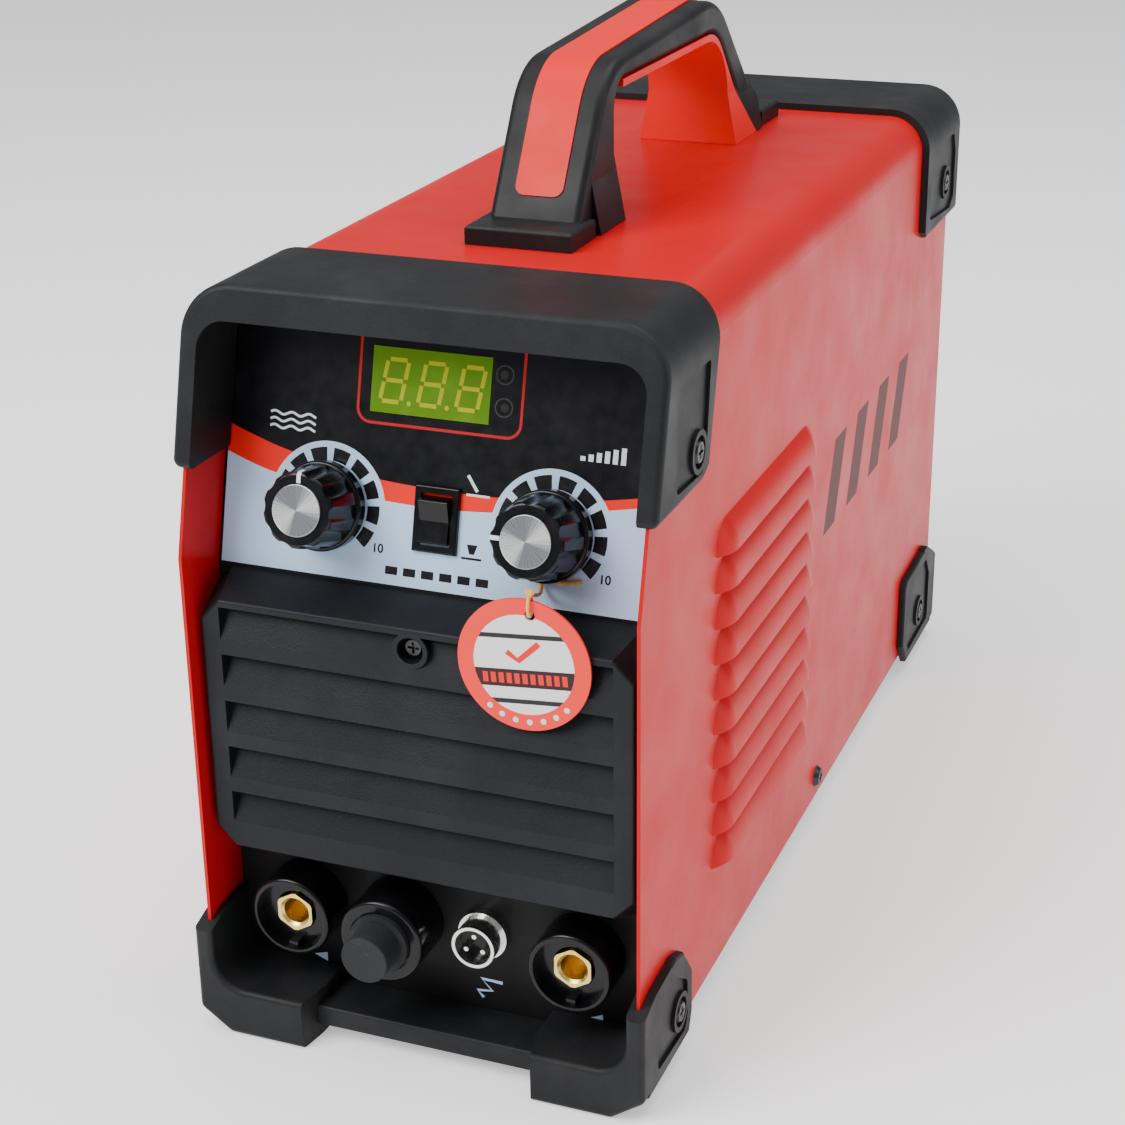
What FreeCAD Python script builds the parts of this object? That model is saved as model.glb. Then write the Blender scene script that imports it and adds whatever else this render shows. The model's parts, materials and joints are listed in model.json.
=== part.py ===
import FreeCAD, Part
import math
import os
from FreeCAD import Matrix, Placement, Rotation, Vector

# Inverter TIG welding machine: a folded sheet-metal case with corner bumpers, a carrying handle,
# a sloping control panel, a slatted intake grille and a row of torch and cable connectors.
# Millimetres, +Z up. While it is built, X = 0 is the middle, Y = 0 is the lower front edge of the
# cover with +Y towards the back, and Z = 0 is the surface the feet stand on. Each piece is moved
# by ORIGIN_Y as it is written, so that the origin ends up under the middle of the machine.

# ---- driving dimensions -------------------------------------------------------------------------
COVER_WIDTH = 154.0
COVER_DEPTH = 399.0
COVER_BOTTOM = 10.6
COVER_TOP = 253.3
COVER_CORNER = 14.0
SHEET = 1.2
KINK_Z = 171.2
TILT_DEG = 14.7
PANEL_SETBACK = 22.3
SEAM_Z = 161.8
PLATE = 1.5

BUMPER_HALF = 80.0
BUMPER_WALL = 2.7
BUMPER_FRONT = -5.0
BUMPER_REAR = 407.0

KNOB_U = 38.1
KNOB_V = 23.3
CONNECTOR_Z = 42.3
SOCKET_X = 50.0
TORCH_X = -15.0
CONTROL_X = 15.0
DUST_CAP_FRONT = -8.0

FAN_SIZE = 92.0
FAN_DEPTH = 25.0
FAN_Z = 88.0

HANDLE_HALF = 16.5

# ---- worked-out dimensions ----------------------------------------------------------------------
HALF = COVER_WIDTH / 2
INSIDE = HALF - SHEET
TILT = math.radians(TILT_DEG)
SLOPE = math.tan(TILT)
BUMPER_TOP = COVER_TOP + BUMPER_WALL
REAR_PANEL_Y = COVER_DEPTH - PANEL_SETBACK
ORIGIN_Y = -(DUST_CAP_FRONT + BUMPER_REAR) / 2
GAP = 0.15

os.makedirs("parts", exist_ok=True)


# ---- helpers ------------------------------------------------------------------------------------
def save(name, *shapes):
    """Move the piece or group of pieces to the machine's origin and write it as one node."""
    shape = shapes[0] if len(shapes) == 1 else Part.makeCompound(list(shapes))
    moved = shape.copy()
    moved.translate(Vector(0, ORIGIN_Y, 0))
    moved.exportStep("parts/" + name + ".step")
    print(name, "solids", len(moved.Solids), "valid", moved.isValid(), "volume", round(moved.Volume))


def box(x0, x1, y0, y1, z0, z1):
    return Part.makeBox(x1 - x0, y1 - y0, z1 - z0, Vector(x0, y0, z0))


def rod(start, axis, radius, length):
    return Part.makeCylinder(radius, length, Vector(*start), Vector(*axis))


def tube(start, axis, outer, inner, length):
    return rod(start, axis, outer, length).cut(rod(start, axis, inner, length))


def prism_x(points, x0, x1):
    """Polygon of (y, z) points pulled along X."""
    wire = Part.makePolygon([Vector(x0, y, z) for y, z in points + points[:1]])
    return Part.Face(wire).extrude(Vector(x1 - x0, 0, 0))


def prism_y(points, y0, y1):
    """Polygon of (x, z) points pulled along Y."""
    wire = Part.makePolygon([Vector(x, y0, z) for x, z in points + points[:1]])
    return Part.Face(wire).extrude(Vector(0, y1 - y0, 0))


def prism_z(points, z0, z1):
    """Polygon of (x, y) points pulled along Z."""
    wire = Part.makePolygon([Vector(x, y, z0) for x, y in points + points[:1]])
    return Part.Face(wire).extrude(Vector(0, 0, z1 - z0))


def arch(half, bottom, top, radius, y0, y1):
    """Upright slab with its two top edges rounded."""
    slab = box(-half, half, y0, y1, bottom, top)
    edges = [e for e in slab.Edges if is_along_y(e) and e.CenterOfMass.z > top - 0.01]
    return slab.makeFillet(radius, edges)


def is_along_y(edge):
    a, b = edge.Vertexes[0].Point, edge.Vertexes[-1].Point
    return abs(a.x - b.x) < 1e-6 and abs(a.z - b.z) < 1e-6


def rounded(shape, radius, chosen):
    """Fillet the edges that the test function picks."""
    return shape.makeFillet(radius, [e for e in shape.Edges if chosen(e)])


def mirrored(shape):
    return shape.mirror(Vector(0, 0, 0), Vector(1, 0, 0))


def hexagon(x, y, z, across_corners, length):
    """Hexagonal bar along +Y from y."""
    corners = []
    for k in range(6):
        turn = math.radians(60 * k + 30)
        corners.append((x + across_corners / 2 * math.cos(turn), z + across_corners / 2 * math.sin(turn)))
    return prism_y(corners, y, y + length)


def rounded_path(points, radii):
    """Straight runs through the points, joined by tangent arcs. A radius of 0 keeps the corner sharp."""
    corners = [Vector(*p) for p in points]
    edges, start = [], corners[0]
    for k in range(1, len(corners) - 1):
        radius = radii[k - 1]
        if radius == 0:
            edges.append(Part.LineSegment(start, corners[k]).toShape())
            start = corners[k]
            continue
        before = (corners[k - 1] - corners[k]).normalize()
        after = (corners[k + 1] - corners[k]).normalize()
        half = before.getAngle(after) / 2
        reach = radius / math.tan(half)
        a, b = corners[k] + before * reach, corners[k] + after * reach
        bisector = (before + after).normalize()
        centre = corners[k] + bisector * (radius / math.sin(half))
        middle = centre - bisector * radius
        edges.append(Part.LineSegment(start, a).toShape())
        edges.append(Part.Arc(a, middle, b).toShape())
        start = b
    edges.append(Part.LineSegment(start, corners[-1]).toShape())
    return Part.Wire(edges)


def in_side_view(y, z):
    return (0, y, z)


def in_front_view(x, z):
    return (x, 0, z)


def soft_face(corners, place):
    """Flat face whose corners (a, b, radius) are rounded. It starts halfway along its last side."""
    (a0, b0, _), (a1, b1, _) = corners[0], corners[-1]
    start = place((a0 + a1) / 2, (b0 + b1) / 2)
    points = [start] + [place(a, b) for a, b, _ in corners] + [start]
    return Part.Face(rounded_path(points, [radius for _, _, radius in corners]))


# The control panel's own frame: u along X, v up the slope from the seam, w out towards the user.
PANEL = Placement(Vector(0, PANEL_SETBACK, SEAM_Z), Rotation(Vector(1, 0, 0), 90 - TILT_DEG))


def on_panel(shape):
    placed = shape.copy()
    placed.Placement = PANEL.multiply(placed.Placement)
    return placed


def panel_box(u0, u1, v0, v1, w0, w1):
    return on_panel(box(u0, u1, v0, v1, w0, w1))


def panel_rod(u, v, w, radius, length):
    return on_panel(rod((u, v, w), (0, 0, 1), radius, length))


def slope_y(z, forward=0.0):
    """Y of the cover's sloping front edge at height z, moved forward by the given distance."""
    return (z - KINK_Z) * SLOPE - forward


# ---- cover --------------------------------------------------------------------------------------
LOUVRE_COUNT = 10
LOUVRE_PITCH = 12.65
LOUVRE_BULGE = 4.5
LOUVRE_HEIGHT = 11.0
LOUVRE_LOWEST = 51.3
LOUVRE_START = 71.5
LOUVRE_END = 184.0
LOUVRE_SKIN = 1.0
SIDE_SCREW = (207.7, 18.9)


def louvre_bar(radius, centre_x, bottom, y0, y1):
    """Round-ended bar whose upper quarter, outside the wall, is the louvre's hood."""
    bar = rod((centre_x, y0, bottom), (0, 1, 0), radius, y1 - y0)
    ends = [Part.makeSphere(radius, Vector(centre_x, y, bottom)) for y in (y0, y1)]
    return bar.multiFuse(ends)


def make_cover():
    shell = arch(HALF, COVER_BOTTOM, COVER_TOP, COVER_CORNER, 0, COVER_DEPTH)
    hollow = arch(INSIDE, COVER_BOTTOM - 1, COVER_TOP - SHEET, COVER_CORNER - SHEET, -1, COVER_DEPTH + 1)
    shell = shell.cut(hollow)
    above = COVER_TOP + 20
    front = [(-5, KINK_Z), (0, KINK_Z), (slope_y(above), above), (-5, above)]
    shell = shell.cut(prism_x(front, -HALF - 1, HALF + 1))

    bar_radius = (LOUVRE_HEIGHT ** 2 + LOUVRE_BULGE ** 2) / (2 * LOUVRE_BULGE)
    centre_x = HALF + LOUVRE_BULGE - bar_radius
    hoods, windows = [], []
    for k in range(LOUVRE_COUNT):
        bottom = LOUVRE_LOWEST + k * LOUVRE_PITCH
        y0, y1 = LOUVRE_START + LOUVRE_HEIGHT, LOUVRE_END - LOUVRE_HEIGHT
        outside = box(INSIDE, HALF + 10, LOUVRE_START - 5, LOUVRE_END + 5, bottom, bottom + 20)
        inner = louvre_bar(bar_radius - LOUVRE_SKIN, centre_x, bottom, y0, y1).common(outside)
        outer = louvre_bar(bar_radius, centre_x, bottom, y0, y1).common(outside)
        hoods.append(outer.cut(inner))
        windows.append(inner)
    for flip in (False, True):
        side_windows = [mirrored(w) for w in windows] if flip else windows
        side_hoods = [mirrored(h) for h in hoods] if flip else hoods
        shell = shell.cut(Part.makeCompound(side_windows))
        shell = shell.multiFuse(side_hoods)
    y, z = SIDE_SCREW
    holes = [rod((-HALF - 1, y, z), (1, 0, 0), 2.1, COVER_WIDTH + 2)]
    holes += [rod((-HALF - 1, y, z), (1, 0, 0), 1.7, COVER_WIDTH + 2) for y, z in BUMPER_SCREWS]
    holes += [rod((x, y, COVER_TOP - 5), (0, 0, 1), 2.2, 10) for x, y in HANDLE_BOLTS]
    return shell.cut(Part.makeCompound(holes)).removeSplitter()


# Screws through the bumpers' sides into the cover, as (y, z).
BUMPER_SCREWS = [(44.5, 210.5), (32.0, 20.0), (382.0, 219.0), (374.0, 22.0)]
HANDLE_BOLTS = [(x, y) for x in (-10.0, 10.0) for y in (127.0, 303.0)]
save("cover", make_cover())


# ---- chassis, front and rear panels -------------------------------------------------------------
PAN_FLOOR = 12.0
PAN_WALL = 26.0


def make_chassis_pan():
    inside = INSIDE - GAP
    y0, y1 = PANEL_SETBACK + PLATE + 0.2, REAR_PANEL_Y - 0.2
    floor = box(-inside, inside, y0, y1, PAN_FLOOR, PAN_FLOOR + PLATE)
    walls = [box(x, x + PLATE, y0, y1, PAN_FLOOR, PAN_FLOOR + PAN_WALL) for x in (-inside, inside - PLATE)]
    pan = floor.multiFuse(walls)
    y, z = SIDE_SCREW
    holes = [rod((-HALF, y, z), (1, 0, 0), 1.6, COVER_WIDTH)]
    holes += [rod((-HALF, y, z), (1, 0, 0), 1.6, COVER_WIDTH) for y, z in BUMPER_SCREWS if z < 100]
    for row in range(12):
        y = 60 + row * 24
        holes.append(box(-40, 40, y, y + 6, PAN_FLOOR - 1, PAN_FLOOR + PLATE + 1))
    return pan.cut(Part.makeCompound(holes)).removeSplitter()


save("chassis_pan", make_chassis_pan())

SLOPE_LENGTH = 88.0
WINDOW = (-25.5, 14.7, 54.4, 75.0)
SWITCH_SIZE = (15.0, 21.0)
SWITCH_V = 23.2
LAMPS = [(18.8, 70.1), (19.6, 60.1)]
GRILLE_SCREW_Z = 149.5
BUSHING = 3.5


def inside_cover(gap):
    """Space inside the cover, with a gap all round."""
    return arch(INSIDE - gap, 0, COVER_TOP - SHEET - gap, COVER_CORNER - SHEET - gap, -10, COVER_DEPTH + 10)


def make_front_panel():
    inside = INSIDE - GAP
    lower = box(-inside, inside, PANEL_SETBACK, PANEL_SETBACK + PLATE, PAN_FLOOR, SEAM_Z)
    upper = panel_box(-inside, inside, 0, SLOPE_LENGTH, -PLATE, 0)
    panel = lower.fuse(upper)
    cuts = [rod((x, 0, CONNECTOR_Z), (0, 1, 0), 10.2, 60) for x in (-SOCKET_X, SOCKET_X)]
    cuts.append(rod((TORCH_X, 0, CONNECTOR_Z), (0, 1, 0), 9.2, 60))
    cuts.append(rod((CONTROL_X, 0, CONNECTOR_Z), (0, 1, 0), 7.2, 60))
    cuts.append(rod((0, 0, GRILLE_SCREW_Z), (0, 1, 0), 1.9, 60))
    for row in range(7):
        z = 76 + row * 9
        for x in (-58, -28, 2, 32):
            cuts.append(box(x, x + 24, 10, 60, z, z + 5))
    u0, u1, v0, v1 = WINDOW
    cuts.append(panel_box(u0 - 0.2, u1 + 0.2, v0 - 0.2, v1 + 0.2, -5, 5))
    for u in (-KNOB_U, KNOB_U):
        cuts.append(panel_rod(u, KNOB_V, -5, BUSHING + 0.15, 10))
    w, h = SWITCH_SIZE
    cuts.append(panel_box(-w / 2 + 0.8, w / 2 - 0.8, SWITCH_V - h / 2 + 0.8, SWITCH_V + h / 2 - 0.8, -5, 5))
    for u, v in LAMPS:
        cuts.append(panel_rod(u, v, -5, 1.65, 10))
    return panel.cut(Part.makeCompound(cuts)).common(inside_cover(GAP)).removeSplitter()


save("front_panel", make_front_panel())

OVERLAY = 0.3


def make_control_overlay():
    sheet = panel_box(-INSIDE + 0.8, INSIDE - 0.8, 0.6, SLOPE_LENGTH - 2, 0.02, OVERLAY)
    u0, u1, v0, v1 = WINDOW
    cuts = [panel_box(u0 - 0.2, u1 + 0.2, v0 - 0.2, v1 + 0.2, -5, 5)]
    for u in (-KNOB_U, KNOB_U):
        cuts.append(panel_rod(u, KNOB_V, -5, 6.9, 10))
    w, h = SWITCH_SIZE
    cuts.append(panel_box(-w / 2 - 0.2, w / 2 + 0.2, SWITCH_V - h / 2 - 0.2, SWITCH_V + h / 2 + 0.2, -5, 5))
    for u, v in LAMPS:
        cuts.append(panel_rod(u, v, -5, 1.65, 10))
    return sheet.cut(Part.makeCompound(cuts)).common(inside_cover(0.8))


save("control_overlay", make_control_overlay())

SWITCH_HOLE = (-46.0, 205.0, 28.4, 22.9)
GAS_INLET = (40.0, 204.0)
GLAND = (-48.0, 165.0)
EARTH_STUD = (-58.0, 30.0)
FAN_BOLT = 41.25


def fan_bolts():
    return [(dx, FAN_Z + dz) for dx in (-FAN_BOLT, FAN_BOLT) for dz in (-FAN_BOLT, FAN_BOLT)]


def make_rear_panel():
    inside = INSIDE - GAP
    plate = box(-inside, inside, REAR_PANEL_Y, REAR_PANEL_Y + PLATE, PAN_FLOOR, COVER_TOP)
    plate = plate.common(inside_cover(GAP))
    y = REAR_PANEL_Y - 5
    x, z, w, h = SWITCH_HOLE
    cuts = [box(x - w / 2, x + w / 2, y, y + 10, z - h / 2, z + h / 2)]
    cuts.append(rod((0, y, FAN_Z), (0, 1, 0), 43.5, 10))
    cuts += [rod((bx, y, bz), (0, 1, 0), 2.2, 10) for bx, bz in fan_bolts()]
    cuts.append(rod((GAS_INLET[0], y, GAS_INLET[1]), (0, 1, 0), 5.1, 10))
    cuts.append(rod((GLAND[0], y, GLAND[1]), (0, 1, 0), 9.7, 10))
    cuts.append(rod((EARTH_STUD[0], y, EARTH_STUD[1]), (0, 1, 0), 3.1, 10))
    return plate.cut(Part.makeCompound(cuts))


save("rear_panel", make_rear_panel())


# ---- corner bumpers -----------------------------------------------------------------------------
LEG_BOTTOM = 199.2
REAR_LEG_BOTTOM = 202.0
REAR_WRAP_START = 345.0
LIP_HALF = 73.5
LIP_TOP = 245.0
LIP_CORNER = 9.0
FRONT_FLANGE = 2.6
FRONT_WRAP = 44.8
LINING_DEPTH = 23.6
LINING_WALL = INSIDE - GAP - LIP_HALF
POCKET_DEPTH = 1.2
SCREW_SEAT = 1.7
BOSS_R = 7.0
SEAT_R = 5.2


def side_pockets(outline, screw):
    """Cutter for both side faces: a shallow pocket around a round boss, with the screw's seat and hole."""
    y, z = screw
    pocket = soft_face(outline, in_side_view).extrude(Vector(POCKET_DEPTH + 1, 0, 0))
    pocket.translate(Vector(BUMPER_HALF - POCKET_DEPTH, 0, 0))
    pocket = pocket.cut(rod((HALF, y, z), (1, 0, 0), BOSS_R, 10))
    seat = rod((BUMPER_HALF - SCREW_SEAT, y, z), (1, 0, 0), SEAT_R, 3)
    hole = rod((HALF - 1, y, z), (1, 0, 0), 1.8, 5)
    cuts = [pocket, seat, hole]
    return Part.makeCompound(cuts + [mirrored(c) for c in cuts])


def between_slopes(start, end, bottom, top):
    """Everything from start to end behind the cover's sloping front edge."""
    points = [(slope_y(bottom, -start), bottom), (slope_y(top, -start), top)]
    points += [(slope_y(top, -end), top), (slope_y(bottom, -end), bottom)]
    return prism_x(points, -90, 90)


def make_top_front_bumper():
    """Hood over the cover's front corners: outer skin, front rim and a lining inside the cover's edge."""
    above = BUMPER_TOP + 10
    block = arch(BUMPER_HALF, LEG_BOTTOM, BUMPER_TOP, COVER_CORNER + BUMPER_WALL, -20, 100)
    block = block.common(between_slopes(-FRONT_FLANGE, FRONT_WRAP, 150, above))
    corner = [(60, 190), (44, 190), (44, LEG_BOTTOM - 0.1), (53, LEG_BOTTOM + 4.5), (60, LEG_BOTTOM + 6)]
    block = block.cut(prism_x(corner, -90, 90))
    cavity = arch(HALF + GAP, 150, COVER_TOP + GAP, COVER_CORNER + GAP, -20, 120)
    block = block.cut(cavity.common(between_slopes(-GAP, 140, 150, above)))
    block = block.cut(arch(LIP_HALF, 150, LIP_TOP, LIP_CORNER, -20, 60))

    def leg_end(edge):
        c = edge.CenterOfMass
        return abs(c.z - LEG_BOTTOM) < 0.01 and is_along_y(edge) and abs(abs(c.x) - BUMPER_HALF) < 0.01

    def on_front_rim(edge):
        c = edge.CenterOfMass
        on_front = all(abs(v.Point.y - slope_y(v.Point.z, FRONT_FLANGE)) < 0.01 for v in edge.Vertexes)
        wide = abs(c.x) > LIP_HALF + 1 or c.z > LIP_TOP + 1
        return on_front and wide and edge.Length > 3

    block = rounded(block, 2.8, leg_end)
    block = rounded(block, 2.2, on_front_rim)
    inside_top = COVER_TOP - SHEET - GAP
    corner_r = COVER_CORNER - SHEET - GAP
    lining = arch(INSIDE - GAP, LEG_BOTTOM, inside_top, corner_r, -20, 100)
    lining = lining.cut(arch(LIP_HALF, 150, inside_top - LINING_WALL, corner_r - LINING_WALL, -21, 101))
    lining = lining.common(between_slopes(-GAP - 0.1, LINING_DEPTH, 150, above))
    pocket = [(23, 204, 2), (22.5, 231, 3), (28, 236.5, 2), (54.5, 237, 1.5), (51.5, 214, 2), (47.5, 203, 3)]
    return block.fuse(lining).removeSplitter().cut(side_pockets(pocket, BUMPER_SCREWS[0]))


save("top_front_bumper", make_top_front_bumper())


def make_top_rear_bumper():
    start = REAR_WRAP_START
    bottom = REAR_LEG_BOTTOM
    block = arch(BUMPER_HALF, bottom, BUMPER_TOP, COVER_CORNER + BUMPER_WALL, start, BUMPER_REAR)
    cavity = arch(HALF + GAP, 150, COVER_TOP + GAP, COVER_CORNER + GAP, start - 1, COVER_DEPTH + GAP)
    mouth = arch(LIP_HALF, 150, LIP_TOP, LIP_CORNER, start - 1, BUMPER_REAR + 1)
    block = block.cut(cavity).cut(mouth)
    corner = [(start - 1, 190), (start + 6, 190), (start + 6, bottom), (start - 1, bottom + 4)]
    block = block.cut(prism_x(corner, -90, 90))

    def leg_end(edge):
        c = edge.CenterOfMass
        return abs(c.z - bottom) < 0.01 and is_along_y(edge) and abs(abs(c.x) - BUMPER_HALF) < 0.01

    def on_rear_rim(edge):
        c = edge.CenterOfMass
        on_rear = all(abs(v.Point.y - BUMPER_REAR) < 0.01 for v in edge.Vertexes)
        return on_rear and (abs(c.x) > LIP_HALF + 1 or c.z > LIP_TOP + 1) and edge.Length > 3

    block = rounded(block, 2.8, leg_end)
    block = rounded(block, 3.4, on_rear_rim)
    pocket = [(352, 209, 3), (352, 238, 3), (393, 238, 3), (397, 230, 2), (397, 210, 2), (391, 206, 2)]
    return block.cut(side_pockets(pocket, BUMPER_SCREWS[2]))


save("top_rear_bumper", make_top_rear_bumper())

FOOT_INNER = 41.2
FOOT_ROOT = 38.4
FOOT_OUTER = 68.7
FOOT_SHOULDER = 8.0
FOOT_BACK = 38.0
SOLE = 9.4
DECK_TOP = 17.5
DECK_CORNER = 11.0
LEDGE_TOP = 12.5
LEDGE_BOTTOM = 5.5
LEDGE_SETBACK = 8.5


def make_bottom_bumper(deck_end, wing, pocket, screw):
    """Corner moulding under the cover's end, built for the front: y = 0 is the cover's edge.

    wing is the outline of the side plates, listed from their top front corner round to the bottom.
    """
    front = BUMPER_FRONT
    profile = [(FOOT_ROOT, 0, 1.5), (FOOT_OUTER, 0, 3), (BUMPER_HALF, FOOT_SHOULDER, 3), (BUMPER_HALF, 60, 0),
               (LIP_HALF, 60, 0), (LIP_HALF, DECK_TOP, DECK_CORNER), (FOOT_ROOT, DECK_TOP, 1)]
    corner = soft_face(profile, in_front_view).extrude(Vector(0, deck_end - front, 0))
    corner.translate(Vector(0, front, 0))
    corner = rounded(corner, 2.0, lambda e: on_front(e, front))
    wedge = [(FOOT_ROOT - 1, front - 1), (FOOT_INNER, front - 1), (FOOT_INNER, front), (FOOT_ROOT, 10)]
    corner = corner.cut(prism_z(wedge + [(FOOT_ROOT - 1, 10)], -1, 30))
    crown = wing[:3]
    above = crown + [(60, crown[-1][1]), (60, 80), (front - 1, 80), (front - 1, crown[0][1])]
    corner = corner.cut(prism_x(above, 0, 90))
    foot = [(FOOT_ROOT, 0, 1.5), (FOOT_OUTER, 0, 3), (BUMPER_HALF, FOOT_SHOULDER, 3), (BUMPER_HALF, 14, 0),
            (FOOT_ROOT, 14, 0)]
    back_foot = soft_face(foot, in_front_view).extrude(Vector(0, FOOT_BACK - 10, 0))
    back_foot.translate(Vector(0, 10, 0))
    side = prism_x(wing, HALF + GAP, BUMPER_HALF).cut(box(70, 90, front - 1, front + 6, 0, 60))
    side = rounded(side, 1.2,
                   lambda e: e.CenterOfMass.x > BUMPER_HALF - 0.01 and e.CenterOfMass.y > front + 7)
    half = corner.multiFuse([back_foot, side])
    slab = box(-BUMPER_HALF + 3, BUMPER_HALF - 3, 12, FOOT_BACK + 2, SOLE, COVER_BOTTOM - GAP)
    ledge_front = front + LEDGE_SETBACK
    ledge = [(ledge_front, LEDGE_BOTTOM), (ledge_front, LEDGE_TOP), (deck_end, LEDGE_TOP), (deck_end, SOLE),
             (ledge_front + 3.5, SOLE), (ledge_front + 3.5, LEDGE_BOTTOM)]
    ledge = prism_x(ledge, -FOOT_ROOT - 1, FOOT_ROOT + 1)
    ledge = rounded(ledge, 1.0, lambda e: on_front(e, ledge_front) and e.CenterOfMass.z > LEDGE_TOP - 0.01)
    cover_room = box(-HALF - GAP, HALF + GAP, -GAP, 90, COVER_BOTTOM - GAP, 70)
    cover_room = cover_room.cut(box(-INSIDE + GAP, INSIDE - GAP, -1, deck_end, 0, 80))
    shape = half.multiFuse([mirrored(half), slab, ledge]).cut(cover_room).removeSplitter()
    return shape.cut(side_pockets(pocket, screw))


def on_front(edge, front):
    return all(abs(v.Point.y - front) < 0.01 for v in edge.Vertexes)


FRONT_WING = [(-5, 38.5), (6, 42), (27, 43.5), (35, 41), (43.5, 30), (44, 14), (41, 6.5), (-5, 6.5)]
FRONT_POCKET = [(9, 12, 2), (9, 31, 2), (24, 38, 3), (38, 29, 3), (39, 16, 2), (36, 10.5, 2)]
REAR_WING = [(-5, 38.5), (2, 43), (15, 50), (54, 48), (57, 45), (57, 17), (49, 6.5), (-5, 6.5)]
REAR_POCKET = [(9, 12, 2), (9, 35, 3), (16, 44, 3), (51, 43, 3), (52, 20, 3), (46, 11, 2)]

rear_outer = REAR_PANEL_Y + PLATE
front_moulding = make_bottom_bumper(PANEL_SETBACK - 0.3, FRONT_WING, FRONT_POCKET, BUMPER_SCREWS[1])
rear_screw_place = (COVER_DEPTH - BUMPER_SCREWS[3][0], BUMPER_SCREWS[3][1])
rear_moulding = make_bottom_bumper(COVER_DEPTH - rear_outer - 0.3, REAR_WING, REAR_POCKET, rear_screw_place)
save("bottom_front_bumper", front_moulding)
save("bottom_rear_bumper", rear_moulding.mirror(Vector(0, COVER_DEPTH / 2, 0), Vector(0, 1, 0)))


def side_screw(y, z, seat_x):
    """Pan-head screw driven inwards through a side wall."""
    head = Part.makeCone(4.3, 3.2, 1.9, Vector(seat_x, y, z), Vector(1, 0, 0))
    head = head.cut(box(seat_x + 0.9, seat_x + 3, y - 0.45, y + 0.45, z - 2.2, z + 2.2))
    head = head.cut(box(seat_x + 0.9, seat_x + 3, y - 2.2, y + 2.2, z - 0.45, z + 0.45))
    shank = rod((seat_x - 6, y, z), (1, 0, 0), 1.5, 6.2)
    return head.fuse(shank).removeSplitter()


def side_screws(places, seat_x):
    right = [side_screw(y, z, seat_x) for y, z in places]
    return right + [mirrored(s) for s in right]


bumper_seat = BUMPER_HALF - SCREW_SEAT + 0.05
save("side_screws", *side_screws(BUMPER_SCREWS, bumper_seat), *side_screws([SIDE_SCREW], HALF + 0.05))


# ---- intake grille ------------------------------------------------------------------------------
GRILLE_FRONT = 4.5
GRILLE_CORE = 13.0
SLAT_TOP = 154.4
SLAT_PITCH = 16.45
SLAT_COUNT = 5
SLAT_HEIGHT = 11.2
SLAT_DEPTH = 5.5
SLAT_HALF = 66.7


def octagon(half, bottom, top, chamfer, y):
    c = chamfer
    points = [(-half + c, bottom), (half - c, bottom), (half, bottom + c), (half, top - c), (half - c, top),
              (-half + c, top), (-half, top - c), (-half, bottom + c)]
    return Part.makePolygon([Vector(x, y, z) for x, z in points + points[:1]])


def make_front_grille():
    back = PANEL_SETBACK - 0.1
    edge = INSIDE - GAP
    wide, narrow = octagon(edge, 61, SEAM_Z - 0.3, 5, back), octagon(73.4, 68.3, 156.6, 7, GRILLE_FRONT)
    outer = Part.makeLoft([wide, narrow], True)
    outer = rounded(outer, 1.0, lambda e: all(abs(v.Point.y - GRILLE_FRONT) < 0.01 for v in e.Vertexes))
    hollow = box(-69, 69, GRILLE_CORE, back + 1, 72, 153)
    grille = outer.cut(hollow)
    cuts = []
    for k in range(SLAT_COUNT):
        top = SLAT_TOP - k * SLAT_PITCH
        wedge = [(GRILLE_FRONT - 1, top), (GRILLE_FRONT + SLAT_DEPTH, top),
                 (GRILLE_FRONT, top - SLAT_HEIGHT), (GRILLE_FRONT - 1, top - SLAT_HEIGHT)]
        cuts.append(prism_x(wedge, -SLAT_HALF, SLAT_HALF))
        for x0 in (-62, -20, 22):
            cuts.append(box(x0, x0 + 40, GRILLE_FRONT, GRILLE_CORE + 1, top - 2.0, top))
    grille = grille.cut(Part.makeCompound(cuts))
    boss = rod((0, GRILLE_FRONT, GRILLE_SCREW_Z), (0, 1, 0), 6.0, back - GRILLE_FRONT)
    grille = grille.fuse(boss)
    seat = rod((0, GRILLE_FRONT - 1, GRILLE_SCREW_Z), (0, 1, 0), 4.4, 5.5)
    hole = rod((0, 0, GRILLE_SCREW_Z), (0, 1, 0), 1.9, 30)
    return grille.cut(seat).cut(hole).removeSplitter()


save("front_grille", make_front_grille())


def front_screw(x, y, z, length):
    head = Part.makeCone(2.6, 3.4, 1.8, Vector(x, y, z), Vector(0, 1, 0))
    head = head.cut(box(x - 0.4, x + 0.4, y - 1, y + 1, z - 1.9, z + 1.9))
    head = head.cut(box(x - 1.9, x + 1.9, y - 1, y + 1, z - 0.4, z + 0.4))
    return head.fuse(rod((x, y + 1.7, z), (0, 1, 0), 1.7, length)).removeSplitter()



# ---- display, knobs and mode switch on the sloping panel ----------------------------------------
def make_display_window():
    u0, u1, v0, v1 = WINDOW
    return panel_box(u0, u1, v0, v1, -1.2, OVERLAY + 0.1)


def make_display_module():
    u0, u1, v0, v1 = WINDOW
    return panel_box(u0 + 1, u1 - 1, v0 + 0.8, v1 - 0.8, -9.5, -1.3)


save("display_window", make_display_window())
save("display_module", make_display_module())
LAMP_LENGTH = 8.0
save("indicator_lamps", *[panel_rod(u, v, OVERLAY - LAMP_LENGTH, 1.5, LAMP_LENGTH) for u, v in LAMPS])

KNOB_BASE_W = 2.6
KNOB_SKIRT_R = 14.4
KNOB_SKIRT_W = 7.0
KNOB_GRIP_R = 13.5
KNOB_TOP_W = 21.2
KNOB_TOP_R = 11.9
KNOB_CAP_R = 8.25
KNOB_FLUTES = 10
FLUTE_R = 4.4
FLUTE_FLOOR = (12.7, 10.95)
SHAFT_R = 3.0


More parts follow.
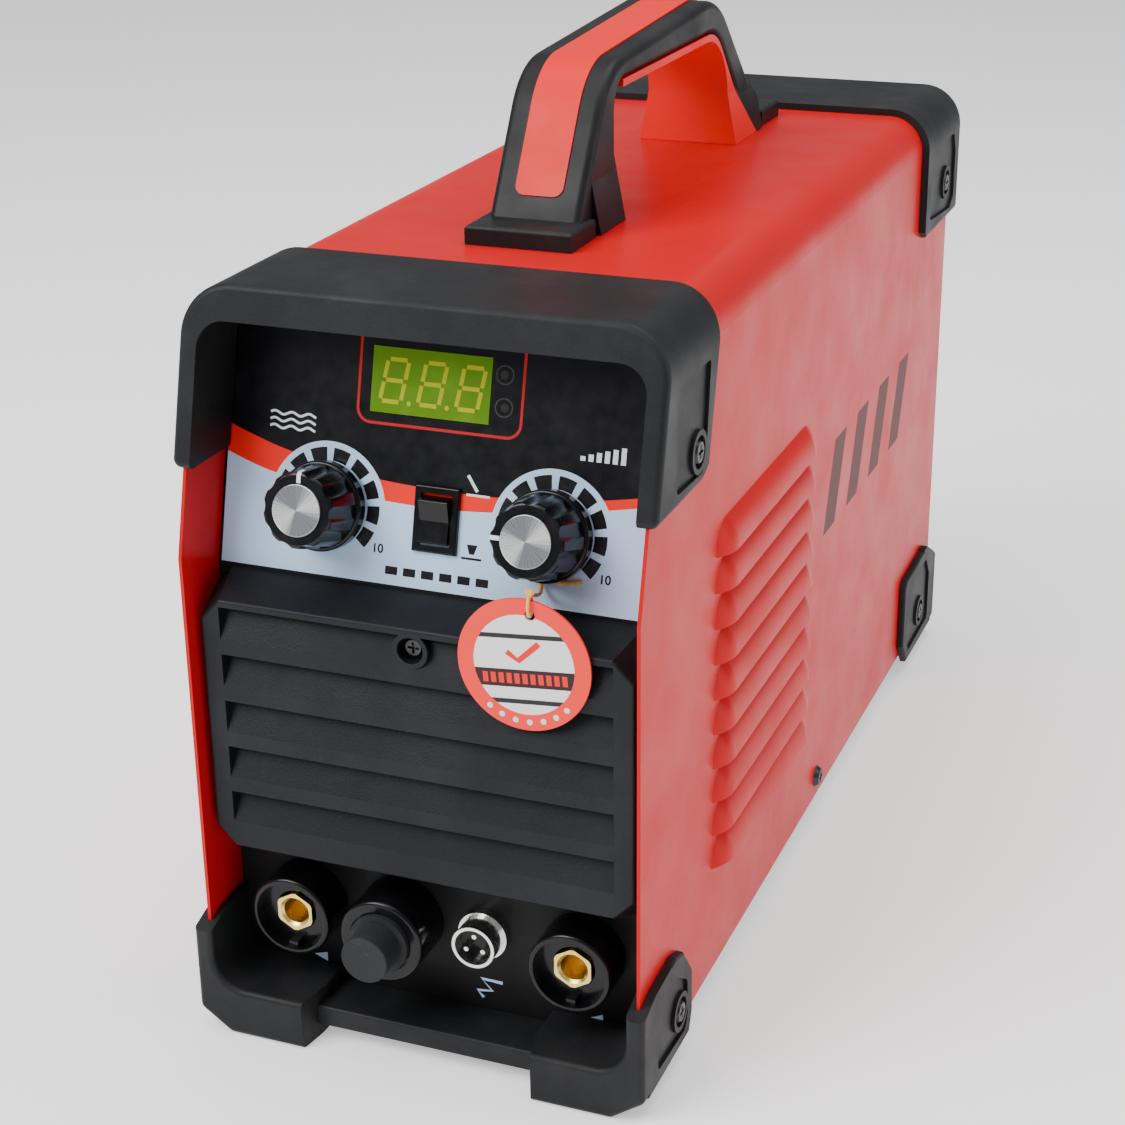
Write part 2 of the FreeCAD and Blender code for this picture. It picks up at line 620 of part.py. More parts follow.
def make_knob(u, pointer):
    """Fluted knob: a short round skirt, a scalloped tapering grip and a recess for the metal cap.

    The pointer's angle, in degrees, falls on a ridge between two flutes.
    """
    skirt = rod((0, 0, KNOB_BASE_W), (0, 0, 1), KNOB_SKIRT_R, KNOB_SKIRT_W - KNOB_BASE_W)
    grip_length = KNOB_TOP_W - KNOB_SKIRT_W
    grip = Part.makeCone(KNOB_GRIP_R, KNOB_TOP_R, grip_length, Vector(0, 0, KNOB_SKIRT_W))
    grip = rounded(grip, 1.3, lambda e: e.CenterOfMass.z > KNOB_TOP_W - 0.01 and len(e.Vertexes) == 1)
    flutes = []
    low, high = (floor + FLUTE_R for floor in FLUTE_FLOOR)
    for k in range(KNOB_FLUTES):
        turn = math.radians(pointer) + 2 * math.pi * (k + 0.5) / KNOB_FLUTES
        out = Vector(math.cos(turn), math.sin(turn), 0)
        start = out * low + Vector(0, 0, KNOB_SKIRT_W)
        along = out * (high - low) + Vector(0, 0, grip_length)
        flutes.append(Part.makeCylinder(FLUTE_R, grip_length + 3, start, along))
    grip = grip.cut(Part.makeCompound(flutes))
    skirt = rounded(skirt, 1.0, lambda e: e.CenterOfMass.z > KNOB_SKIRT_W - 0.1 and len(e.Vertexes) == 1)
    knob = skirt.fuse(grip)
    knob = knob.cut(rod((0, 0, KNOB_TOP_W - 0.8), (0, 0, 1), KNOB_CAP_R + 0.1, 2))
    knob = knob.cut(rod((0, 0, KNOB_BASE_W - 1), (0, 0, 1), SHAFT_R + 0.02, 14))
    knob = knob.cut(rod((0, 0, KNOB_BASE_W - 1), (0, 0, 1), 7.6, 3.0))
    knob.translate(Vector(u, KNOB_V, 0))
    return on_panel(knob.removeSplitter())


def make_knob_cap(u):
    cap = rod((u, KNOB_V, KNOB_TOP_W - 0.78), (0, 0, 1), KNOB_CAP_R, 1.5)
    return on_panel(rounded(cap, 0.35, lambda e: e.CenterOfMass.z > KNOB_TOP_W + 0.7))


def make_potentiometer(u):
    body = rod((u, KNOB_V, -PLATE - 9.2), (0, 0, 1), 8.2, 9.0)
    bushing = rod((u, KNOB_V, -PLATE - 0.3), (0, 0, 1), BUSHING, 5.0)
    lugs = [box(u - 6 + 5 * k, u - 4 + 5 * k, KNOB_V - 14, KNOB_V - 5, -PLATE - 3, -PLATE - 2.2)
            for k in range(3)]
    pot = body.multiFuse([bushing] + lugs)
    pot = pot.cut(rod((u, KNOB_V, -PLATE - 6), (0, 0, 1), SHAFT_R + 0.05, 15))
    return on_panel(pot.removeSplitter())


def make_pot_shaft(u):
    return panel_rod(u, KNOB_V, -PLATE - 5.9, SHAFT_R, PLATE + 5.9 + KNOB_BASE_W + 12.8)


def make_pot_nut(u):
    corners = []
    for k in range(6):
        turn = math.radians(60 * k)
        corners.append((u + 5.8 * math.cos(turn), KNOB_V + 5.8 * math.sin(turn)))
    nut = prism_z(corners, 0.05, 2.1)
    return on_panel(nut.cut(rod((u, KNOB_V, -1), (0, 0, 1), BUSHING + 0.05, 5)))


for knob_name, u, pointer in (("gas", -KNOB_U, 90), ("current", KNOB_U, 180)):
    save(knob_name + "_knob", make_knob(u, pointer))
    save(knob_name + "_knob_cap", make_knob_cap(u))
    save(knob_name + "_pot_shaft", make_pot_shaft(u))
save("potentiometers", make_potentiometer(-KNOB_U), make_potentiometer(KNOB_U))
save("pot_nuts", make_pot_nut(-KNOB_U), make_pot_nut(KNOB_U))

ROCKER_TILT = 9.0


def make_switch(width, height, depth):
    """Rocker switch housing in its own frame: face at w = 0, rocker opening in front."""
    w, h = width, height
    bezel = box(-w / 2, w / 2, -h / 2, h / 2, 0.05, 2.0)
    bezel = rounded(bezel, 0.6, lambda e: e.CenterOfMass.z > 1.99)
    body = box(-w / 2 + 1, w / 2 - 1, -h / 2 + 1, h / 2 - 1, -depth, 0.1)
    pins = [box(-w / 4 - 2.4, -w / 4 + 2.4, v, v + 0.8, -depth - 8, -depth + 1) for v in (-h / 4, h / 4)]
    room = box(-w / 2 + 2.2, w / 2 - 2.2, -h / 2 + 2.2, h / 2 - 2.2, -7.0, 3)
    return bezel.multiFuse([body] + pins).cut(room).removeSplitter()


def make_rocker(width, height):
    """Rocker with two faces meeting in a shallow valley, standing at its upper stop."""
    w, h = width - 5.2, height - 6.4
    profile = [(-h / 2, -1.0), (-h / 2 + 0.4, 4.2), (0, 2.6), (h / 2 - 0.4, 4.2), (h / 2, -1.0), (0, -5.6)]
    rocker = prism_x(profile, -w / 2, w / 2)
    rocker = rounded(rocker, 0.5, lambda e: e.CenterOfMass.z > 3.9 and abs(e.CenterOfMass.x) < 0.1)
    rocker.rotate(Vector(0, 0, 0), Vector(1, 0, 0), ROCKER_TILT)
    return rocker


def at_mode_switch(shape):
    placed = shape.copy()
    placed.translate(Vector(0, SWITCH_V, 0))
    return on_panel(placed)


save("mode_switch_housing", at_mode_switch(make_switch(*SWITCH_SIZE, 12.0)))
save("mode_rocker", at_mode_switch(make_rocker(*SWITCH_SIZE)))


# ---- connector row ------------------------------------------------------------------------------
SOCKET_R = 14.3
SOCKET_FRONT = 7.5
SOCKET_BORE = 4.5
PANEL_BACK = PANEL_SETBACK + PLATE


def make_socket_body(x):
    y0 = SOCKET_FRONT
    body = rod((x, y0, CONNECTOR_Z), (0, 1, 0), SOCKET_R, PANEL_SETBACK - 0.1 - y0)
    body = rounded(body, 1.2, lambda e: e.CenterOfMass.y < y0 + 0.01 and len(e.Vertexes) == 1)
    body = body.cut(rod((x, y0 - 1, CONNECTOR_Z), (0, 1, 0), 12.4, 6.0))
    shank = rod((x, PANEL_SETBACK - 1, CONNECTOR_Z), (0, 1, 0), 10.0, 8.5)
    nut = hexagon(x, PANEL_BACK + 0.1, CONNECTOR_Z, 29.0, 5.0)
    body = body.multiFuse([shank, nut])
    body = body.cut(rod((x, y0, CONNECTOR_Z), (0, 1, 0), 7.3, 40))
    key = box(x - 1.6, x + 1.6, y0 + 1.5, y0 + 5.2, CONNECTOR_Z - 12.6, CONNECTOR_Z - 10.2)
    return body.fuse(key).removeSplitter()


def make_socket_insert(x):
    front = SOCKET_FRONT + 3.6
    stem = rod((x, front, CONNECTOR_Z), (0, 1, 0), 6.9, 22)
    stem = stem.common(hexagon(x, front, CONNECTOR_Z, 14.6, 22))
    stud = rod((x, front + 21.9, CONNECTOR_Z), (0, 1, 0), 4.0, 14)
    insert = stem.fuse(stud)
    insert = insert.cut(rod((x, front - 1, CONNECTOR_Z), (0, 1, 0), SOCKET_BORE, 19))
    mouth = Part.makeCone(5.4, SOCKET_BORE, 0.9, Vector(x, front, CONNECTOR_Z), Vector(0, 1, 0))
    return insert.cut(mouth).removeSplitter()


save("output_socket_bodies", *[make_socket_body(x) for x in (-SOCKET_X, SOCKET_X)])
save("output_socket_inserts", *[make_socket_insert(x) for x in (-SOCKET_X, SOCKET_X)])

TORCH_R = 14.8
TORCH_FRONT = 4.0
TORCH_BORE = 5.0


def make_torch_body():
    body = rod((TORCH_X, TORCH_FRONT, CONNECTOR_Z), (0, 1, 0), TORCH_R, PANEL_SETBACK - 0.1 - TORCH_FRONT)
    body = rounded(body, 1.4, lambda e: e.CenterOfMass.y < TORCH_FRONT + 0.01 and len(e.Vertexes) == 1)
    shank = rod((TORCH_X, PANEL_SETBACK - 1, CONNECTOR_Z), (0, 1, 0), 9.0, 8.0)
    nut = hexagon(TORCH_X, PANEL_BACK + 0.1, CONNECTOR_Z, 27.0, 5.0)
    body = body.multiFuse([shank, nut])
    seat = rod((TORCH_X, TORCH_FRONT - 1, CONNECTOR_Z), (0, 1, 0), 11.0, 3.0)
    bore = rod((TORCH_X, 0, CONNECTOR_Z), (0, 1, 0), 8.05, 60)
    return body.cut(seat).cut(bore).removeSplitter()


def make_torch_stud():
    stud = rod((TORCH_X, TORCH_FRONT + 2.5, CONNECTOR_Z), (0, 1, 0), 7.9, 26)
    tail = rod((TORCH_X, TORCH_FRONT + 28, CONNECTOR_Z), (0, 1, 0), 4.0, 12)
    bore = rod((TORCH_X, 0, CONNECTOR_Z), (0, 1, 0), TORCH_BORE, TORCH_FRONT + 22)
    port = rod((TORCH_X, TORCH_FRONT, CONNECTOR_Z), (0, 1, 0), 1.5, 60)
    return stud.fuse(tail).cut(bore).cut(port).removeSplitter()


def make_dust_cap():
    cap = rod((TORCH_X, DUST_CAP_FRONT, CONNECTOR_Z), (0, 1, 0), 8.2, TORCH_FRONT - DUST_CAP_FRONT)
    cap = rounded(cap, 0.5, lambda e: e.CenterOfMass.y < DUST_CAP_FRONT + 0.01 and len(e.Vertexes) == 1)
    ring = rod((TORCH_X, TORCH_FRONT - 1.6, CONNECTOR_Z), (0, 1, 0), 10.4, 3.4)
    plug = rod((TORCH_X, TORCH_FRONT, CONNECTOR_Z), (0, 1, 0), TORCH_BORE - 0.35, 9)
    return cap.multiFuse([ring, plug]).removeSplitter()


save("torch_socket_body", make_torch_body())
save("torch_socket_stud", make_torch_stud())
save("torch_dust_cap", make_dust_cap())

CONTROL_R = 7.5
CONTROL_FRONT = 11.4


def make_control_shell():
    length = PANEL_SETBACK - 0.1 - CONTROL_FRONT
    shell = rod((CONTROL_X, CONTROL_FRONT, CONNECTOR_Z), (0, 1, 0), CONTROL_R, length)
    flange = rod((CONTROL_X, PANEL_SETBACK - 3.1, CONNECTOR_Z), (0, 1, 0), 8.6, 3.0)
    shank = rod((CONTROL_X, PANEL_SETBACK - 0.5, CONNECTOR_Z), (0, 1, 0), 7.0, 9)
    nut = hexagon(CONTROL_X, PANEL_BACK + 0.1, CONNECTOR_Z, 19.0, 2.5)
    shell = shell.multiFuse([flange, shank, nut])
    return shell.cut(rod((CONTROL_X, CONTROL_FRONT - 1, CONNECTOR_Z), (0, 1, 0), 6.4, 40)).removeSplitter()


def make_control_insert():
    disc = rod((CONTROL_X, CONTROL_FRONT + 5, CONNECTOR_Z), (0, 1, 0), 6.3, 14)
    return disc


def make_control_pins():
    pins = []
    for turn in (90, 210, 330):
        x = CONTROL_X + 3.4 * math.cos(math.radians(turn))
        z = CONNECTOR_Z + 3.4 * math.sin(math.radians(turn))
        pins.append(rod((x, CONTROL_FRONT + 1.2, z), (0, 1, 0), 0.8, 3.8))
    return pins


save("control_connector_shell", make_control_shell())
save("control_connector_insert", make_control_insert())
save("control_connector_pins", *make_control_pins())


# ---- handle -------------------------------------------------------------------------------------
HANDLE_BASE = COVER_TOP + 0.1
GRIP_FLOOR = 299.2
FRONT_LEG_INNER = 145.3
OUTER_CORNERS = [(107.0, HANDLE_BASE, 0), (139.3, 306.0, 28), (257.5, 312.4, 36), (320.0, HANDLE_BASE, 0)]
INNER_CORNERS = [(298.5, HANDLE_BASE, 0), (256.0, GRIP_FLOOR, 22), (FRONT_LEG_INNER, GRIP_FLOOR, 10),
                 (FRONT_LEG_INNER, HANDLE_BASE, 0)]
LINING_CORNERS = [(298.5, HANDLE_BASE, 0), (256.0, GRIP_FLOOR, 22), (FRONT_LEG_INNER + 8, GRIP_FLOOR, 0),
                  (FRONT_LEG_INNER + 8, GRIP_FLOOR - 2.5, 0), (271.0, GRIP_FLOOR - 2.5, 26),
                  (271.0, HANDLE_BASE, 0)]
STRIP_HALF = 8.5
STRIP_PROUD = 0.5
STRIP_DEPTH = 1.8
STRIP_ENDS = (265.4, 290.0)
TOES = [(96.8, 119.0), (309.0, 332.5)]
TOE_HALF = 18.8
TOE_TOP = 259.8
CHEEKS = [(121.5, FRONT_LEG_INNER), (270.0, 306.5)]
CHEEK_HALF = 19.8


def flared(shape, ends):
    """The part of a wide leg blank that lies inside its spreading foot, between two y values."""
    outline = [(-CHEEK_HALF, HANDLE_BASE), (CHEEK_HALF, HANDLE_BASE), (HANDLE_HALF - 1, 276),
               (1 - HANDLE_HALF, 276)]
    return shape.common(prism_y(outline, *ends))


def handle_blank(corners, half):
    blank = soft_face(corners, in_side_view).extrude(Vector(2 * half, 0, 0))
    blank.translate(Vector(-half, 0, 0))
    return blank


def make_top_insert():
    """Soft strip along the front leg and the top of the grip, sunk into the handle."""
    outer = soft_face(OUTER_CORNERS, in_side_view)
    band = outer.makeOffset2D(STRIP_PROUD).cut(outer.makeOffset2D(-STRIP_DEPTH))
    strip = band.extrude(Vector(2 * STRIP_HALF, 0, 0))
    strip.translate(Vector(-STRIP_HALF, 0, 0))
    front_z, rear_y = STRIP_ENDS
    window = prism_x([(100, front_z + 3), (112, front_z + 3), (122, front_z - 3), (150, 288),
                      (rear_y - 12, 280), (rear_y, 310), (rear_y, 320), (100, 320)], -20, 20)
    strip = strip.common(window)

    def end_corner(edge):
        across = abs(abs(edge.CenterOfMass.x) - STRIP_HALF) < 0.01
        return across and 2.0 < edge.Length < 3.0

    return rounded(strip, 3.5, end_corner)


def make_grip_insert():
    """Soft lining under the grip that spreads into the rear leg's inner face."""
    blank = handle_blank(LINING_CORNERS, CHEEK_HALF)
    straight = handle_blank(LINING_CORNERS, HANDLE_HALF - 0.4)
    return straight.fuse(flared(blank, CHEEKS[1])).removeSplitter()


def make_handle():
    block = handle_blank(OUTER_CORNERS + INNER_CORNERS, HANDLE_HALF)

    def long_edge(edge):
        c = edge.CenterOfMass
        return abs(abs(c.x) - HANDLE_HALF) < 0.01 and c.z > HANDLE_BASE + 1

    block = rounded(block, 3.0, long_edge)
    wide = handle_blank(OUTER_CORNERS + INNER_CORNERS, CHEEK_HALF)
    parts = [flared(wide, ends) for ends in CHEEKS]
    for y0, y1 in TOES:
        toe = box(-TOE_HALF, TOE_HALF, y0, y1, HANDLE_BASE, TOE_TOP)
        parts.append(rounded(toe, 1.5, lambda e: e.CenterOfMass.z > TOE_TOP - 0.1))
    handle = block.multiFuse(parts)
    handle = handle.cut(make_top_insert()).cut(make_grip_insert())
    bolts = [rod((x, y, COVER_TOP - 1), (0, 0, 1), 2.1, 14) for x, y in HANDLE_BOLTS]
    return handle.cut(Part.makeCompound(bolts)).removeSplitter()


save("handle_body", make_handle())
save("handle_top_insert", make_top_insert())
save("handle_grip_insert", make_grip_insert())


def handle_bolt(x, y):
    head = rod((x, y, COVER_TOP - SHEET - 3.2), (0, 0, 1), 3.6, 3.1)
    head = head.cut(rod((x, y, COVER_TOP - SHEET - 4), (0, 0, 1), 1.6, 2.4))
    return head.fuse(rod((x, y, COVER_TOP - SHEET - 0.2), (0, 0, 1), 1.95, 12.5)).removeSplitter()


save("handle_bolts", *[handle_bolt(x, y) for x, y in HANDLE_BOLTS])


# ---- rear: fan, guard, mains switch, gas inlet, cable gland, earth stud --------------------------
FAN_BACK = REAR_PANEL_Y - 0.1
FAN_FRONT = FAN_BACK - FAN_DEPTH
HUB_R = 18.0
AXLE_R = 1.5


def make_fan_frame():
    half = FAN_SIZE / 2
    frame = box(-half, half, FAN_FRONT, FAN_BACK, FAN_Z - half, FAN_Z + half)
    frame = rounded(frame, 4.0, is_along_y)
    cuts = [rod((0, FAN_FRONT - 1, FAN_Z), (0, 1, 0), 43.0, FAN_DEPTH + 2)]
    cuts += [rod((x, FAN_FRONT - 1, z), (0, 1, 0), 1.7, FAN_DEPTH + 2) for x, z in fan_bolts()]
    frame = frame.cut(Part.makeCompound(cuts))
    base = rod((0, FAN_BACK - 3, FAN_Z), (0, 1, 0), HUB_R, 3)
    axle = rod((0, FAN_BACK - 16, FAN_Z), (0, 1, 0), AXLE_R, 14)
    struts = []
    for k in range(4):
        strut = box(-2, 2, FAN_BACK - 3, FAN_BACK, FAN_Z, FAN_Z + 44)
        strut.rotate(Vector(0, 0, FAN_Z), Vector(0, 1, 0), 45 + 90 * k)
        struts.append(strut)
    return frame.multiFuse([base, axle] + struts).removeSplitter()


def make_fan_rotor():
    """Seven pitched blades on a hub that turns on the frame's axle."""
    length = 17.0
    y0 = FAN_BACK - 4.0 - length
    hub = rod((0, y0, FAN_Z), (0, 1, 0), HUB_R - 0.5, length)
    hub = rounded(hub, 2.0, lambda e: e.CenterOfMass.y < y0 + 0.01 and len(e.Vertexes) == 1)
    blades = []
    for k in range(7):
        blade = box(-1.0, 1.0, y0 + 0.5, y0 + length - 0.5, FAN_Z + HUB_R - 3, FAN_Z + 41.3)
        blade.rotate(Vector(0, y0 + length / 2, FAN_Z), Vector(0, 0, 1), 42)
        blade.rotate(Vector(0, 0, FAN_Z), Vector(0, 1, 0), 360 / 7 * k)
        blades.append(blade)
    rotor = hub.multiFuse(blades)
    sweep = rod((0, FAN_FRONT + 0.6, FAN_Z), (0, 1, 0), 41.5, FAN_DEPTH - 4.2)
    rotor = rotor.common(sweep)
    rotor = rotor.cut(rod((0, y0 + 3, FAN_Z), (0, 1, 0), AXLE_R + 0.05, 30))
    return rotor.removeSplitter()


def make_fan_guard():
    y = REAR_PANEL_Y + PLATE + 4.0
    parts = [Part.makeTorus(r, 1.0, Vector(0, y, FAN_Z), Vector(0, 1, 0)) for r in (8, 17, 26, 35, 44)]
    for k in range(4):
        turn = math.radians(45 + 90 * k)
        reach = 54.6
        parts.append(rod((0, y - 1.6, FAN_Z), (math.cos(turn), 0, math.sin(turn)), 1.0, reach))
    for x, z in fan_bolts():
        parts.append(tube((x, y - 3.9, z), (0, 1, 0), 4.2, 1.9, 2.4))
    guard = parts[0].multiFuse(parts[1:])
    return guard.cut(Part.makeCompound([rod((x, y - 6, z), (0, 1, 0), 1.9, 12) for x, z in fan_bolts()]))


save("fan_frame", make_fan_frame())
save("fan_rotor", make_fan_rotor())
save("fan_guard", make_fan_guard())


def rear_screw(x, z):
    y = REAR_PANEL_Y + PLATE + 2.6
    head = Part.makeCone(3.4, 2.6, 1.8, Vector(x, y, z), Vector(0, 1, 0))
    head = head.cut(box(x - 0.4, x + 0.4, y + 0.9, y + 3, z - 1.9, z + 1.9))
    head = head.cut(box(x - 1.9, x + 1.9, y + 0.9, y + 3, z - 0.4, z + 0.4))
    return head.fuse(rod((x, y - 16, z), (0, 1, 0), 1.5, 16.2)).removeSplitter()


grille_screw = front_screw(0, GRILLE_FRONT + 2.65, GRILLE_SCREW_Z, 20)
save("panel_screws", grille_screw, *[rear_screw(x, z) for x, z in fan_bolts()])

SWITCH_PLACE = Vector(SWITCH_HOLE[0], REAR_PANEL_Y + PLATE, SWITCH_HOLE[1])
REAR_FACE = Placement(SWITCH_PLACE, Rotation(Vector(0, 1, 1), 180))


def on_rear(shape):
    placed = shape.copy()
    placed.Placement = REAR_FACE.multiply(placed.Placement)
    return placed


POWER_SWITCH = (SWITCH_HOLE[2] + 1.6, SWITCH_HOLE[3] + 1.6)
save("power_switch_housing", on_rear(make_switch(*POWER_SWITCH, 16.0)))
save("power_rocker", on_rear(make_rocker(*POWER_SWITCH)))


GAS_THREAD_R = 4.8
GAS_THREAD_LENGTH = 12.0


def make_gas_inlet():
    """Threaded gas nipple: a hexagon outside, a locknut inside and a plain spigot for the valve's hose."""
    x, z = GAS_INLET
    y = REAR_PANEL_Y + PLATE + 0.1
    nipple = rod((x, y - 12, z), (0, 1, 0), 5.0, 13)
    thread = rod((x, y + 4.9, z), (0, 1, 0), GAS_THREAD_R, GAS_THREAD_LENGTH + 0.1)
    tip = [e for e in thread.Edges if e.CenterOfMass.y > y + 16 and len(e.Vertexes) == 1]
    thread = thread.makeChamfer(0.8, tip)
    parts = [hexagon(x, y, z, 15.0, 5.0), hexagon(x, REAR_PANEL_Y - 4.1, z, 15.0, 4.0), thread]
    nipple = nipple.multiFuse(parts)
    return nipple.cut(rod((x, y - 13, z), (0, 1, 0), 2.1, 50)).removeSplitter()


def make_cable_gland():
    x, z = GLAND
    y = REAR_PANEL_Y + PLATE + 0.1
    gland = rod((x, y - 9, z), (0, 1, 0), 9.5, 10)
    parts = [hexagon(x, y, z, 27.0, 5.0), hexagon(x, REAR_PANEL_Y - 5.1, z, 27.0, 5.0)]
    parts.append(Part.makeCone(11.2, 8.0, 11.0, Vector(x, y + 4.9, z), Vector(0, 1, 0)))
    gland = gland.multiFuse(parts)
    return gland.cut(rod((x, y - 12, z), (0, 1, 0), 4.6, 40)).removeSplitter()


EARTH_STUD_R = 3.0
EARTH_STUD_FREE = 10.0


def make_earth_stud():
    """Earth bolt: its nut inside and outside the panel, and a free length for the work lead's ring."""
    x, z = EARTH_STUD
    y = REAR_PANEL_Y + PLATE + 0.1
    bolt = rod((x, REAR_PANEL_Y - 4, z), (0, 1, 0), EARTH_STUD_R, 4 + PLATE + 0.1 + 4 + EARTH_STUD_FREE)
    parts = [hexagon(x, REAR_PANEL_Y - 4.1, z, 11.0, 4.0), hexagon(x, y, z, 11.0, 4.0)]
    return bolt.multiFuse(parts).removeSplitter()


save("gas_inlet_nipple", make_gas_inlet())
save("cable_gland", make_cable_gland())
save("earth_stud", make_earth_stud())


# ---- inside ---------------------------------------------------------------------------------------
BOARD_Z = 124.0
SINK_TOP = 119.0
SINK_BOTTOM = 66.0
FLOOR_TOP = PAN_FLOOR + PLATE + 0.1


def make_heatsink(x0, x1, y0, y1):
    """Aluminium extrusion: flat top with fins hanging down into the fan's air stream."""
    base = box(x0, x1, y0, y1, SINK_TOP - 8, SINK_TOP)
    pitch = 6.0
    count = int((x1 - x0 - 2) / pitch) + 1
    fins = [box(x0 + k * pitch, x0 + k * pitch + 2, y0, y1, SINK_BOTTOM, SINK_TOP - 7) for k in range(count)]
    return base.multiFuse(fins).removeSplitter()


save("heatsinks", make_heatsink(-64, -8, 112, 212), make_heatsink(8, 64, 112, 212))


def make_sink_brackets():
    """Four angle brackets that carry the heatsinks above the chassis floor."""
    brackets = []
    for x in (-66, 64.1):
        for y in (118, 198):
            upright = box(x, x + 1.9, y, y + 10, FLOOR_TOP, SINK_TOP)
            inner_edge, outer_edge = (x, x + 9.9) if x < 0 else (x - 8, x + 1.9)
            foot = box(inner_edge, outer_edge, y, y + 10, FLOOR_TOP, FLOOR_TOP + 2)
            brackets.append(upright.fuse(foot).removeSplitter())
    return brackets


save("heatsink_brackets", *make_sink_brackets())


def make_inverter_board():
    board = box(-66, 66, 95, 325, BOARD_Z, BOARD_Z + 1.6)
    holes = [rod((x, y, BOARD_Z - 1), (0, 0, 1), 1.7, 4) for x, y in STANDOFFS]
    return board.cut(Part.makeCompound(holes))


STANDOFFS = [(x, y) for x in (-58.0, 58.0) for y in (120.0, 204.0)]
save("inverter_board", make_inverter_board())
standoff_height = BOARD_Z - SINK_TOP
save("board_standoffs", *[tube((x, y, SINK_TOP), (0, 0, 1), 3.5, 1.6, standoff_height) for x, y in STANDOFFS])

CAPACITORS = [(-36.0, 246.0), (0.0, 246.0), (36.0, 246.0), (-18.0, 282.0)]
capacitor = []
for x, y in CAPACITORS:
    can = rod((x, y, BOARD_Z + 1.7), (0, 0, 1), 16.0, 46.0)
    capacitor.append(rounded(can, 1.5, lambda e: e.CenterOfMass.z > BOARD_Z + 47 and len(e.Vertexes) == 1))
save("bus_capacitors", *capacitor)


def make_transformer_core():
    outer = box(-30, 30, 232, 280, FLOOR_TOP, FLOOR_TOP + 50)
    windows = [box(x, x + 14, 231, 281, FLOOR_TOP + 9, FLOOR_TOP + 41) for x in (-23, 9)]
    return outer.cut(Part.makeCompound(windows))


def make_transformer_windings():
    outer = box(-21.5, 21.5, 225, 287, FLOOR_TOP + 10, FLOOR_TOP + 40)
    outer = rounded(outer, 8.0, lambda e: abs(e.Vertexes[0].Point.z - e.Vertexes[-1].Point.z) > 20)
    return outer.cut(box(-9.3, 9.3, 231.7, 280.3, FLOOR_TOP, FLOOR_TOP + 60))


save("transformer_core", make_transformer_core())
save("transformer_windings", make_transformer_windings())
save("output_inductor", Part.makeTorus(19.0, 9.5, Vector(0, 160, FLOOR_TOP + 9.6), Vector(0, 0, 1)))
arc_coil = tube((-40, 62, 84), (0, 1, 0), 15.0, 8.0, 40)
save("arc_start_coil", arc_coil)


def make_control_board():
    board = panel_box(-64, 64, 4, 80, -14.4, -12.8)
    slot = panel_box(-9, 9, SWITCH_V - 12.5, SWITCH_V + 12.5, -20, 0)
    return board.cut(slot)


save("control_board", make_control_board())


def make_solenoid_valve():
    x, z = GAS_INLET
    body = box(x - 11, x + 11, 330, REAR_PANEL_Y - 12.2, z - 11, z + 11)
    coil = box(x - 13, x + 13, 332, REAR_PANEL_Y - 14, z + 10.9, z + 36)
    spout = rod((x, 320, z), (0, 1, 0), 3.0, 11)
    return body.multiFuse([coil, spout]).removeSplitter()


save("gas_solenoid_valve", make_solenoid_valve())


def swept(points, radii, radius):
    """Solid round bar along straight runs joined by tangent arcs."""
    start = Vector(*points[0])
    circle = Part.Wire([Part.makeCircle(radius, start, Vector(*points[1]) - start)])
    return rounded_path(points, radii).makePipeShell([circle], True, True)


HOSE_ROUTE = [(40, 319.8, 204), (40, 290, 204), (67, 262, 196), (69, 180, 190), (69, 84, 150),
              (60, 66, 92), (30, 62, 50), (-15, 62, 42.3), (-15, 46.3, 42.3)]
HOSE_RADII = [25, 40, 60, 60, 40, 30, 7]
HOSE_R = 3.0
HOSE_BORE = 2.0


def make_gas_hose():
    return swept(HOSE_ROUTE, HOSE_RADII, HOSE_R).cut(swept(HOSE_ROUTE, HOSE_RADII, HOSE_BORE))


save("gas_hose", make_gas_hose())


def make_busbars():
    """Copper strips from the two output sockets back to the power stage."""
    bars = []
    for x in (-SOCKET_X, SOCKET_X):
        y = SOCKET_FRONT + 3.6 + 22.0
        strip = box(x - 7, x + 7, y, y + 2, CONNECTOR_Z - 8, 60)
        strip = strip.fuse(box(x - 7, x + 7, y, 111.8, 58, 60)).fuse(box(x - 7, x + 7, 109.8, 111.8, 58, 110))
        bars.append(strip.cut(rod((x, y - 1, CONNECTOR_Z), (0, 1, 0), 4.1, 4)).removeSplitter())
    return bars


save("output_busbars", *make_busbars())


# ---- inspection tag --------------------------------------------------------------------------------
TAG_CENTRE = (38.6, 3.4, 151.6)
TAG_R = 21.7
TAG_THICK = 0.8
TAG_HOLE_R = 1.7
TAG_HOLE_X = 40.8
TAG_HOLE_Z = 168.2
STRING_R = 0.6
KNOT_R = 0.95
EYE_R = 3.6
# Places across, up and out from the point where the current knob's axis meets the panel. The string
# hangs on the knob's bushing, hidden under the knob, and runs forward to the tag.
STRING_ROUTE = [(1.3, -13.4, 1.45), (5.8, -10.4, 1.45), (8.9, -5.4, 1.45), (9.6, 0.4, 1.45), (8.0, 5.9, 1.45),
                (3.7, 9.6, 1.45), (-1.9, 10.0, 1.45), (-6.7, 7.4, 1.45), (-9.3, 2.4, 1.45),
                (-9.0, -3.2, 1.45), (-6.5, -8.2, 1.45), (-3.1, -12.0, 1.45), (-1.2, -15.1, 1.4),
                (-0.7, -17.8, 3.7), (0.0, -17.8, 7.6), (0.8, -17.0, 12.6), (1.8, -16.0, 17.4),
                (2.7, -14.9, 21.7)]
START_KNOT = (0.0, -13.7, 1.45)
TAIL_ROUTE = [(0.0, -13.7, 1.45), (5.6, -14.6, 1.35), (11.4, -13.2, 1.2)]


